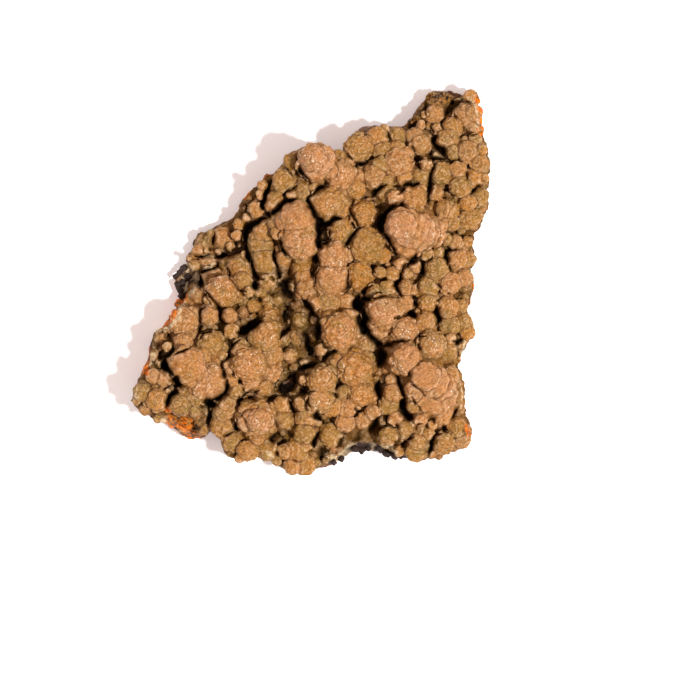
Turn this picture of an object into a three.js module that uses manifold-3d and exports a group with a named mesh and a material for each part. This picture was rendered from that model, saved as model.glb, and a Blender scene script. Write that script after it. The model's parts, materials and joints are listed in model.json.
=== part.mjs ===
// A hand specimen of mottramite: a botryoidal crust, all of it beads and domed heads that
// grew into each other, on a broken piece of iron-stained rock. Millimetres, +Z up, the
// origin on the ground under the middle of the specimen. It lies on the rock's flat
// underside. +Y is the way its thin, rusty tip points, +X the side where the crust curls
// down over the rock.
import * as THREE from 'three';
import { mergeVertices } from 'three/addons/utils/BufferGeometryUtils.js';
import Module from 'manifold-3d';

const wasm = await Module();
wasm.setup();

// Driving dimensions
const CREST = 11.5; // height of the ordinary beads above the ground
const CRUST_DEPTH = 3.2; // from the beads' crests down to the floor of the crevices
const ROCK_DEPTH = 5.4; // from the beads' crests down to the rock
const THIN_ROCK = 1.6; // the rock under the lowest ledge
const THIN_CRUST = 1.2; // the least crust over the rock
const GAP = 0.3; // clear space between crust and rock
const DOME_SQUASH = 0.9; // how far a dome falls from its top to its radius, over the radius
const DOME_FULLNESS = 1.25; // 1 is a parabola, more is a rounder shoulder

// The broken edge of the rock, measured inwards from the outline
const EDGE_INSET = 0.25;
const FOOT_INSET = 2.3; // around the flat underside
const WAIST_INSET = 0.4; // low on the side, at WAIST_SHARE of the rock's height
const WAIST_SHARE = 0.35;
const BROW_INSET = 1.0; // around the top, over a brow at BROW_SHARE of the height
const BROW_SHARE = 0.85;
const RAGGEDNESS = 0.3; // unevenness of the side, as a share of each inset
const TOP_SPREAD = [1, 0.65, 0.32]; // rings of the rock's top, as shares of its reach

// The edge of the crust
const CRUST_INSET = 0.05; // inside the outline
const HEM_SHARE = 0.8; // height of the crust's lower edge over the rock's, before it curls
const CURL = 3.4; // how far the crust curls down over the rock on its eastern side
const CURL_THICKNESS = 1.5;
const CURL_BEARING = -0.1; // the middle of the curled side, as an angle from +X
const [CURL_START, CURL_FULL] = [0.35, 0.85]; // cosines of the angle from there

// The grid that the crust is drawn on
const SLAB_SIDE = 66; // square that holds the whole crust
const GRID_STEP = 1.0;
const GRID_SHIFT = 0.15; // how far the grid is uneven

// The middle from which the rings of both pieces are drawn
const CORE = new THREE.Vector2(3, 0);

// How far a bead of each rank stands above or below the ordinary crests
const DEEP = -2.2;
const PLAIN = 0;
const RAISED = 1.5;
const HEAD = 3.0;
const TALL = 4.6;

// The specimen's outline seen from above, from the tip's eastern corner clockwise
const OUTLINE = [
  [25.0, 30.5], [25.8, 31.3], [27.0, 30.4], [27.5, 29.4], [28.1, 26.2], [27.6, 24.1],
  [28.6, 22.0], [29.1, 17.7], [28.6, 15.5], [29.1, 13.7], [27.8, 10.3], [26.8, 7.9],
  [26.2, 6.1], [26.8, 3.8], [26.0, 1.5], [26.6, -0.6], [26.0, -3.2], [25.2, -4.6],
  [26.3, -6.9], [26.6, -8.5], [24.9, -11.1], [23.6, -14.5], [24.7, -16.4], [24.9, -20.2],
  [24.7, -21.6], [26.0, -25.4], [25.4, -26.8], [23.4, -27.5], [21.3, -28.4], [17.4, -29.1],
  [14.0, -28.8], [10.9, -27.6], [6.4, -27.8], [4.8, -29.4], [0.9, -30.7], [-1.7, -31.4],
  [-4.1, -30.7], [-6.6, -29.1], [-8.8, -28.6], [-11.3, -29.4], [-13.7, -28.1], [-14.8, -25.7],
  [-16.0, -23.7], [-17.4, -25.4], [-19.5, -25.7], [-23.6, -23.2], [-26.0, -22.1], [-27.9, -20.8],
  [-29.1, -19.4], [-27.8, -15.8], [-26.5, -13.0], [-26.2, -10.3], [-25.0, -8.0], [-21.6, -4.8],
  [-22.4, -3.8], [-21.5, -2.7], [-22.3, 0.1], [-20.2, 3.0], [-20.5, 4.0], [-19.5, 5.1],
  [-19.0, 7.0], [-17.1, 8.2], [-12.9, 10.3], [-11.6, 11.7], [-11.7, 12.6], [-9.8, 14.8],
  [-7.9, 16.3], [-7.5, 17.4], [-6.2, 17.4], [-4.1, 19.7], [-3.6, 20.8], [-0.1, 22.3],
  [1.5, 22.4], [3.0, 21.3], [5.1, 21.1], [6.2, 23.2], [7.2, 24.2], [8.8, 25.4],
  [12.4, 25.2], [15.5, 25.2], [16.3, 26.5], [16.9, 27.2], [17.9, 28.7], [20.0, 30.9],
  [22.6, 31.2], [24.2, 30.5],
].map(([x, y]) => new THREE.Vector2(x, y));

// Where the crest of the crust sinks: x, y, reach, depth
const SINKS = [
  [-17.0, 6.0, 7.0, 7.6], // the low ledge on the north-western edge
  [-21.5, -1.5, 4.0, 4.2], // the black broken corner beside it
  [-9.5, 13.5, 3.6, 2.6],
  [24.5, 31.5, 10.0, 5.0], // the thin tip
  [13.0, 25.5, 6.0, 1.8],
  [30.0, 9.0, 7.0, 3.0],
  [28.5, -7.5, 6.0, 3.6],
  [26.5, -20.0, 4.5, 3.4],
  [24.0, -29.0, 6.0, 3.0],
  [8.0, -29.5, 6.5, 3.6], // the broken southern edge
  [-17.0, -26.0, 4.5, 3.4], // the notch
  [-3.0, -32.0, 5.0, 2.4],
];

// Where the crust is broken back and bare rock reaches the edge: x, y, reach, depth
const CHIPS = [
  [-21.5, 0.4, 2.6, 2.6],
  [-22.6, -4.8, 2.2, 1.7],
  [-26.6, -12.0, 2.6, 0.9],
  [-21.5, -24.4, 3.0, 2.3],
  [22.3, 31.2, 2.4, 2.0],
  [8.6, 25.2, 2.4, 1.1],
  [28.0, 27.0, 2.6, 1.0],
  [8.6, -28.2, 5.0, 1.8],
  [16.2, -29.4, 1.8, 0.9],
];

// The beads and heads: x, y, radius, rank
const HEADS = [
  // The great rosette, its upper disc and the scallops beside it
  [15.3, 9.0, 3.5, HEAD], [14.8, 8.7, 2.8, TALL], [17.6, 9.2, 2.1, HEAD],
  [18.9, 8.0, 1.8, RAISED], [20.5, 7.5, 1.3, PLAIN], [16.4, 13.5, 1.9, RAISED],
  // The long head in the middle with the column beside it
  [-2.0, 10.1, 2.4, HEAD], [-1.7, 6.4, 2.5, HEAD], [-5.3, 9.6, 1.3, RAISED],
  [-7.4, 8.2, 1.6, PLAIN], [-7.9, 5.8, 1.6, PLAIN], [-7.5, 3.2, 1.6, PLAIN],
  [-6.9, -0.1, 1.5, PLAIN],
  // The northern heads
  [0.9, 19.2, 2.8, HEAD], [0.4, 19.7, 1.6, TALL], [4.8, 17.1, 1.8, RAISED],
  [2.7, 12.6, 2.1, RAISED], [3.6, 4.0, 2.3, RAISED], [3.6, 0.4, 2.1, RAISED],
  // The western pair
  [-19.7, -13.4, 2.8, HEAD], [-16.6, -16.0, 2.8, RAISED],
  // The south-eastern cluster
  [15.3, -12.4, 2.9, HEAD], [18.9, -15.5, 2.9, HEAD], [20.2, -18.7, 2.8, HEAD],
  [22.1, -16.0, 1.9, RAISED], [16.9, -17.6, 1.9, RAISED], [19.4, -10.4, 1.9, RAISED],
  [22.0, -11.4, 1.3, PLAIN],
  // The south-western rosette and the heads between
  [-8.7, -22.0, 2.9, RAISED], [-8.2, -22.4, 1.5, HEAD], [-9.8, -13.4, 2.1, RAISED],
  [-7.2, -8.8, 1.9, RAISED], [-14.2, -1.7, 2.1, RAISED], [-12.7, -1.1, 1.5, PLAIN],
  [11.6, -4.5, 2.4, HEAD], [10.9, -7.4, 1.8, RAISED], [15.1, -7.9, 2.3, RAISED],
  [4.8, -8.0, 2.6, HEAD], [6.4, -6.2, 1.6, RAISED], [7.0, -14.0, 2.1, RAISED],
  [1.9, -16.1, 2.1, RAISED], [1.4, -19.2, 1.8, RAISED],
];

const WESTERN_BEADS = [
  [-17.4, 6.6, 1.5, PLAIN], [-14.3, 7.0, 1.5, PLAIN], [-16.8, 3.0, 1.3, PLAIN],
  [-13.4, 2.7, 1.3, PLAIN], [-16.0, 0.7, 1.3, PLAIN], [-11.3, 1.9, 1.8, PLAIN],
  [-10.9, -0.2, 1.3, PLAIN], [-16.3, -5.6, 1.6, PLAIN], [-20.4, -6.6, 2.3, PLAIN],
  [-24.3, -9.2, 1.4, DEEP], [-16.1, -10.3, 1.9, PLAIN], [-20.5, -10.0, 1.5, PLAIN],
  [-18.7, -18.2, 1.5, PLAIN], [-23.6, -15.6, 1.5, PLAIN], [-27.0, -17.9, 1.6, PLAIN],
  [-24.7, -19.0, 1.6, PLAIN], [-21.1, -20.0, 1.6, PLAIN], [-18.7, -20.8, 1.3, DEEP],
  [-13.2, -13.7, 1.3, PLAIN], [-9.5, -16.0, 1.5, PLAIN], [-13.7, -20.3, 1.8, PLAIN],
  [-14.0, -23.1, 1.7, PLAIN], [-12.5, -25.8, 1.9, PLAIN], [-10.0, -27.3, 1.5, PLAIN],
  [-11.3, -10.3, 1.3, PLAIN], [-9.0, -11.4, 1.3, PLAIN], [-6.6, -11.9, 1.5, PLAIN],
  [-6.6, -5.4, 1.3, DEEP], [-10.9, -3.0, 1.1, DEEP], [-6.4, -14.5, 1.3, PLAIN],
  [-7.5, -17.1, 1.5, PLAIN], [-7.0, -27.2, 1.6, PLAIN], [-17.4, -24.1, 1.1, PLAIN],
  [-18.0, -2.3, 1.1, PLAIN],
];

const MIDDLE_BEADS = [
  [-3.0, 19.4, 1.5, PLAIN], [-4.3, 16.1, 1.8, PLAIN], [-8.7, 11.4, 1.5, PLAIN],
  [-5.9, 12.7, 1.3, PLAIN], [-1.2, 14.5, 1.5, PLAIN], [-4.3, 3.5, 1.3, PLAIN],
  [4.9, 11.7, 1.3, PLAIN], [4.8, 14.0, 1.3, PLAIN], [4.8, 8.2, 1.8, PLAIN],
  [7.2, 14.8, 1.3, PLAIN], [8.5, 10.8, 1.9, PLAIN], [-1.5, 2.6, 1.6, DEEP],
  [-0.4, -1.1, 1.6, PLAIN], [9.0, 5.8, 2.1, PLAIN], [7.9, 0.9, 1.8, PLAIN],
  [-1.7, -6.2, 1.3, DEEP], [3.0, -3.3, 1.6, PLAIN], [5.6, -3.5, 1.3, PLAIN],
  [-3.3, -11.9, 1.3, DEEP], [4.1, -12.7, 1.3, PLAIN], [8.8, -10.3, 1.5, PLAIN],
  [-4.5, -20.0, 1.3, PLAIN], [-4.3, -22.4, 1.5, PLAIN], [-2.2, -27.1, 1.5, PLAIN],
  [-2.8, -29.8, 1.3, PLAIN], [-0.9, -29.6, 1.3, PLAIN], [-0.9, -24.5, 1.3, PLAIN],
  [-0.7, -22.1, 1.3, PLAIN], [3.3, -24.7, 1.6, PLAIN], [8.2, -18.1, 1.6, PLAIN],
  [5.8, -20.5, 1.5, PLAIN], [3.5, -20.2, 1.3, PLAIN], [5.6, -22.8, 1.3, PLAIN],
  [-1.5, -19.7, 1.1, PLAIN],
];

const EASTERN_BEADS = [
  [7.5, 21.4, 2.2, PLAIN], [10.8, 23.0, 1.5, PLAIN], [14.0, 23.4, 1.6, PLAIN],
  [11.7, 21.0, 1.3, PLAIN], [14.2, 18.9, 1.8, PLAIN], [15.1, 16.8, 1.3, PLAIN],
  [10.4, 17.0, 1.5, PLAIN], [17.7, 22.1, 1.8, PLAIN], [20.0, 26.8, 1.5, PLAIN],
  [22.0, 28.9, 1.3, DEEP], [24.9, 26.8, 1.8, PLAIN], [22.9, 24.7, 1.3, PLAIN],
  [22.2, 22.6, 1.5, PLAIN], [25.5, 20.8, 1.5, PLAIN], [27.3, 18.9, 1.4, PLAIN],
  [21.1, 17.4, 1.9, PLAIN], [17.9, 16.9, 1.3, PLAIN], [26.6, 16.8, 1.3, PLAIN],
  [24.2, 15.2, 1.3, PLAIN], [12.2, 14.2, 1.5, PLAIN], [22.0, 11.4, 2.1, DEEP],
  [27.3, 13.6, 1.5, PLAIN], [25.2, 9.8, 1.2, PLAIN], [23.7, 3.5, 1.6, PLAIN],
  [20.3, 2.0, 1.9, PLAIN], [18.9, -1.1, 1.5, PLAIN], [22.4, -0.4, 1.5, PLAIN],
  [18.8, -3.4, 1.4, PLAIN], [14.5, 2.8, 1.2, PLAIN], [15.3, -1.1, 1.2, PLAIN],
  [10.2, -1.5, 1.2, PLAIN], [18.5, -6.6, 1.5, PLAIN], [22.1, -4.3, 1.3, PLAIN],
  [22.4, -7.0, 1.3, PLAIN], [24.9, -6.4, 1.3, PLAIN], [24.9, 0.6, 1.3, PLAIN],
  [13.4, -17.9, 1.5, PLAIN], [12.6, -20.0, 1.3, PLAIN], [16.6, -20.2, 1.3, PLAIN],
  [21.0, -21.4, 1.5, PLAIN], [17.7, -22.4, 1.4, PLAIN], [15.2, -23.7, 1.5, PLAIN],
  [23.7, -23.7, 1.5, PLAIN], [21.4, -26.0, 1.8, PLAIN], [17.3, -26.0, 1.4, PLAIN],
  [12.6, -25.0, 1.2, PLAIN],
];

const BEADS = [...HEADS, ...WESTERN_BEADS, ...MIDDLE_BEADS, ...EASTERN_BEADS];

// Sum of the smooth bells of a list around a point
function bells(list, x, y) {
  return list.reduce((sum, [cx, cy, reach, depth]) => {
    const nearness = ((x - cx) ** 2 + (y - cy) ** 2) / reach ** 2;
    return sum + depth * Math.exp(-nearness);
  }, 0);
}

const crest = (x, y) => CREST - bells(SINKS, x, y);
const rockTop = (x, y) => Math.max(THIN_ROCK, crest(x, y) - ROCK_DEPTH);
const crustFloor = (x, y) => Math.max(rockTop(x, y) + THIN_CRUST, crest(x, y) - CRUST_DEPTH);

// How much a place belongs to the curled side: 1 in its middle, 0 on the broken sides
function curled(x, y) {
  const facing = Math.cos(Math.atan2(y - CORE.y, x - CORE.x) - CURL_BEARING);
  const chipped = Math.min(1, bells(CHIPS, x, y));
  return THREE.MathUtils.smoothstep(facing, CURL_START, CURL_FULL) * (1 - chipped);
}

// A small regular unevenness that keeps the broken faces from lying straight
const uneven = (step, row) => Math.sin(2.3 * step + 1.7 * row) * Math.cos(1.1 * step - row);

// One ring of the outline: each point moved towards the core by inset millimetres and
// then to a share of its way from the core, at the height that level gives
function ring(insetAt, share, level) {
  return OUTLINE.map((point, step) => {
    const arm = point.clone().sub(CORE);
    arm.setLength((arm.length() - insetAt(point, step)) * share).add(CORE);
    return new THREE.Vector3(arm.x, arm.y, level(arm.x, arm.y, point, step));
  });
}

// A closed body skinned over rings of equal count, from its underside to its top
function skinned(rings) {
  const count = rings[0].length;
  const middle = (points) => {
    const height = points.reduce((sum, point) => sum + point.z, 0) / count;
    return new THREE.Vector3(CORE.x, CORE.y, height);
  };
  const points = [...rings.flat(), middle(rings[0]), middle(rings.at(-1))];
  const under = rings.length * count;
  const over = under + 1;
  const lastRing = (rings.length - 1) * count;
  const faces = [];
  for (let step = 0; step < count; step += 1) {
    const next = (step + 1) % count;
    faces.push(under, step, next, over, lastRing + next, lastRing + step);
    for (let row = 0; row < lastRing; row += count) {
      const [a, b, c, d] = [row + step, row + next, row + count + next, row + count + step];
      faces.push(a, d, c, a, c, b);
    }
  }
  const geometry = new THREE.BufferGeometry().setFromPoints(points);
  geometry.setIndex(faces);
  return geometry;
}

// The rock, or with grow above 0 the space that the crust keeps clear of it
function rockGeometry(grow) {
  const edge = (point) => EDGE_INSET + CURL_THICKNESS * curled(point.x, point.y) - grow;
  const side = (extra, level) => (point, step) =>
    edge(point) + extra * (1 + RAGGEDNESS * uneven(step, level));
  const part = (share) => (x, y, point) => share * rockTop(point.x, point.y);
  const top = (x, y) => rockTop(x, y) + grow;
  return skinned([
    ring(side(FOOT_INSET, 0), 1, () => -grow),
    ring(side(WAIST_INSET, 1), 1, part(WAIST_SHARE)),
    ring(side(0, 2), 1, (x, y, point) => part(BROW_SHARE)(x, y, point) + grow),
    ...TOP_SPREAD.map((share) => ring(side(BROW_INSET, 3), share, top)),
  ]);
}

// The height of the crust's surface: the highest dome there, or the floor of a crevice
function surface(x, y) {
  return BEADS.reduce((height, [cx, cy, radius, rank]) => {
    const reach = ((x - cx) ** 2 + (y - cy) ** 2) / radius ** 2;
    const fall = DOME_SQUASH * radius * reach ** DOME_FULLNESS;
    return Math.max(height, crest(cx, cy) + rank - fall);
  }, crustFloor(x, y));
}

// The sheet of beads: a slab on a grid whose corners near a bead's middle move onto it
function sheetGeometry() {
  const columns = Math.round(SLAB_SIDE / GRID_STEP);
  const geometry = new THREE.BoxGeometry(SLAB_SIDE, SLAB_SIDE, 1, columns, columns, 1);
  const place = geometry.getAttribute('position');
  const near = (a, b) => Math.abs(a - b) < GRID_STEP / 2;
  for (let corner = 0; corner < place.count; corner += 1) {
    const [x, y] = [place.getX(corner), place.getY(corner)];
    const bead = BEADS.find(([cx, cy]) => near(x, cx) && near(y, cy));
    const shift = GRID_SHIFT * uneven(x * 2, y);
    const [px, py] = bead ?? [x + shift, y - shift];
    const hem = HEM_SHARE * rockTop(px, py) - CURL * curled(px, py);
    place.setXYZ(corner, px, py, place.getZ(corner) > 0 ? surface(px, py) : Math.max(GAP, hem));
  }
  return geometry;
}

// Everything within the crust's own edge, from the ground up
function insideGeometry() {
  const edge = (point) => CRUST_INSET + bells(CHIPS, point.x, point.y);
  const shape = new THREE.Shape(ring(edge, 1, () => 0).map(({ x, y }) => new THREE.Vector2(x, y)));
  return new THREE.ExtrudeGeometry(shape, { depth: 2 * CREST, bevelEnabled: false });
}

// A closed mesh as a solid that can be cut
function toSolid(geometry) {
  geometry.deleteAttribute('normal');
  geometry.deleteAttribute('uv');
  const merged = mergeVertices(geometry, 1e-5);
  return new wasm.Manifold(new wasm.Mesh({
    numProp: 3,
    vertProperties: new Float32Array(merged.getAttribute('position').array),
    triVerts: new Uint32Array(merged.getIndex().array),
  }));
}

// The main body of a solid, without loose crumbs along its edge
function largest(solid) {
  const bodies = solid.decompose();
  return bodies.reduce((best, body) => (body.volume() > best.volume() ? body : best));
}

// A solid's surface as a mesh
function toGeometry(solid) {
  const { vertProperties, triVerts } = solid.getMesh();
  const geometry = new THREE.BufferGeometry();
  geometry.setAttribute('position', new THREE.BufferAttribute(vertProperties, 3));
  geometry.setIndex(new THREE.BufferAttribute(triVerts, 1));
  geometry.computeVertexNormals();
  return geometry;
}

// The crust: the sheet of beads within its own edge, clear of the rock
function makeCrust() {
  const sheet = toSolid(sheetGeometry()).intersect(toSolid(insideGeometry()));
  return largest(sheet.subtract(toSolid(rockGeometry(GAP))));
}

function piece(name, geometry, finish) {
  const mesh = new THREE.Mesh(geometry, new THREE.MeshStandardMaterial(finish));
  mesh.name = name;
  return mesh;
}

const rockFinish = { color: 0x7a4526, roughness: 0.95, metalness: 0 };
const crustFinish = { color: 0xa06e3f, roughness: 0.75, metalness: 0 };

const specimen = new THREE.Group();
specimen.add(piece('matrix', toGeometry(toSolid(rockGeometry(0))), rockFinish));
specimen.add(piece('mottramite_crust', toGeometry(makeCrust()), crustFinish));

export default specimen;
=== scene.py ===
import json
import logging
import math
import random
from dataclasses import dataclass
from enum import Enum

import bpy
import numpy as np
from mathutils import Matrix, Vector

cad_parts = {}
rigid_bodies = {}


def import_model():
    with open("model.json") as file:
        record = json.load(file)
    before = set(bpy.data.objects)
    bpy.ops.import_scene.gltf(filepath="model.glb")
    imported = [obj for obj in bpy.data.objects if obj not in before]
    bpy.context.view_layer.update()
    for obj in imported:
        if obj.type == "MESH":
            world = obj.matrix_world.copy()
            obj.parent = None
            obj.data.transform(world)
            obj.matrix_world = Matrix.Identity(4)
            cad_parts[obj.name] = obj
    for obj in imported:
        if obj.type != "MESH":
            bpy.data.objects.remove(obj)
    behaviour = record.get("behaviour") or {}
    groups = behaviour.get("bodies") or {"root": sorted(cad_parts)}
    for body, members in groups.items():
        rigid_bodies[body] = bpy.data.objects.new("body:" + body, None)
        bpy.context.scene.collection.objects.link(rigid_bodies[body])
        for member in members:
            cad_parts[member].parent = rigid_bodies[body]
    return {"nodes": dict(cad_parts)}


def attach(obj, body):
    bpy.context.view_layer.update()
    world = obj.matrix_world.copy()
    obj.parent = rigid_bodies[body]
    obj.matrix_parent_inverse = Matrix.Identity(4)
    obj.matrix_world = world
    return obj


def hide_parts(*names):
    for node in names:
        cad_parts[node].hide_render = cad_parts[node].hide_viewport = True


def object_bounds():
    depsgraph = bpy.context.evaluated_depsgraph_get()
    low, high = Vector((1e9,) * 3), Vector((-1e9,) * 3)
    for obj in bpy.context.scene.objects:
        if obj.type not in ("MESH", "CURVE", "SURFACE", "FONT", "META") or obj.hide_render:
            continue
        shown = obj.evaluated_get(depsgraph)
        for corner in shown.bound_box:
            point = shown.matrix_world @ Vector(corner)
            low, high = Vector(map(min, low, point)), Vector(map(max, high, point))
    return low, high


# A hand specimen of mottramite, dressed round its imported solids: the botryoidal crust as
# eight clusters of beads that have grown together on a floor, over the broken rusty rock.
# The shapes are made in millimetres and brought to metres when a piece is finished.

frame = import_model()
CAD_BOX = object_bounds()

MM = 0.001
TURN = 2 * math.pi
BODY = "root"
log = logging.getLogger("specimen")


class Rank(Enum):
    """How far a bead's top stands above or below the ordinary crests, in millimetres."""

    DEEP = -2.2
    PLAIN = 0.0
    RAISED = 1.5
    HEAD = 3.0
    TALL = 4.6


class Form(Enum):
    """The ways in which a bead has grown."""

    ROUND = "round"
    SCALY = "scaly"
    STEPPED = "stepped"
    PLATE = "plate"


DEEP, PLAIN, RAISED, HEAD, TALL = Rank

# The lie of the crust: crests at CREST, sunk round these places (x, y, reach, depth)
CREST = 11.5
CRUST_DEPTH = 3.2
ROCK_DEPTH = 5.4
THIN_ROCK = 1.6
THIN_CRUST = 1.2
SINKS = (
    (-17.0, 6.0, 7.0, 7.6), (-21.5, -1.5, 4.0, 4.2), (-9.5, 13.5, 3.6, 2.6), (24.5, 31.5, 10.0, 5.0),
    (13.0, 25.5, 6.0, 1.8), (30.0, 9.0, 7.0, 3.0), (28.5, -7.5, 6.0, 3.6), (26.5, -20.0, 4.5, 3.4),
    (24.0, -29.0, 6.0, 3.0), (8.0, -29.5, 6.5, 3.6), (-17.0, -26.0, 4.5, 3.4), (-3.0, -32.0, 5.0, 2.4),
)

# Where the crust is broken back from the rock's edge (x, y, reach, depth)
CHIPS = (
    (-21.5, 0.4, 2.6, 2.6), (-22.6, -4.8, 2.2, 1.7), (-26.6, -12.0, 2.6, 0.9), (-21.5, -24.4, 3.0, 2.3),
    (22.3, 31.2, 2.4, 2.0), (8.6, 25.2, 2.4, 1.1), (28.0, 27.0, 2.6, 1.0), (8.6, -28.2, 5.0, 1.8),
    (16.2, -29.4, 1.8, 0.9),
)

# Deep holes between the heads (x, y, reach, depth)
HOLES = (
    (-3.6, -4.9, 1.8, 1.8), (-9.0, -7.2, 1.6, 1.6), (-3.3, -16.5, 2.0, 1.8), (8.3, -5.0, 1.6, 1.8),
    (11.5, -12.2, 1.6, 1.8), (16.9, -5.1, 1.2, 1.4), (20.8, -5.2, 1.3, 1.4), (-17.9, 0.2, 1.6, 1.0),
    (1.9, 8.0, 1.5, 1.8), (11.9, 8.7, 1.8, 2.0), (-15.6, -19.8, 1.5, 1.8), (-21.9, -16.2, 1.5, 1.6),
    (0.0, -11.2, 1.6, 1.6), (14.5, -20.6, 1.2, 1.5), (23.4, 28.4, 1.4, 1.2), (-5.9, -25.2, 1.2, 1.4),
    (10.4, -22.7, 1.2, 1.4), (-2.5, 8.6, 0.9, 1.0), (-12.0, -15.0, 1.0, 1.4),
)

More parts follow.
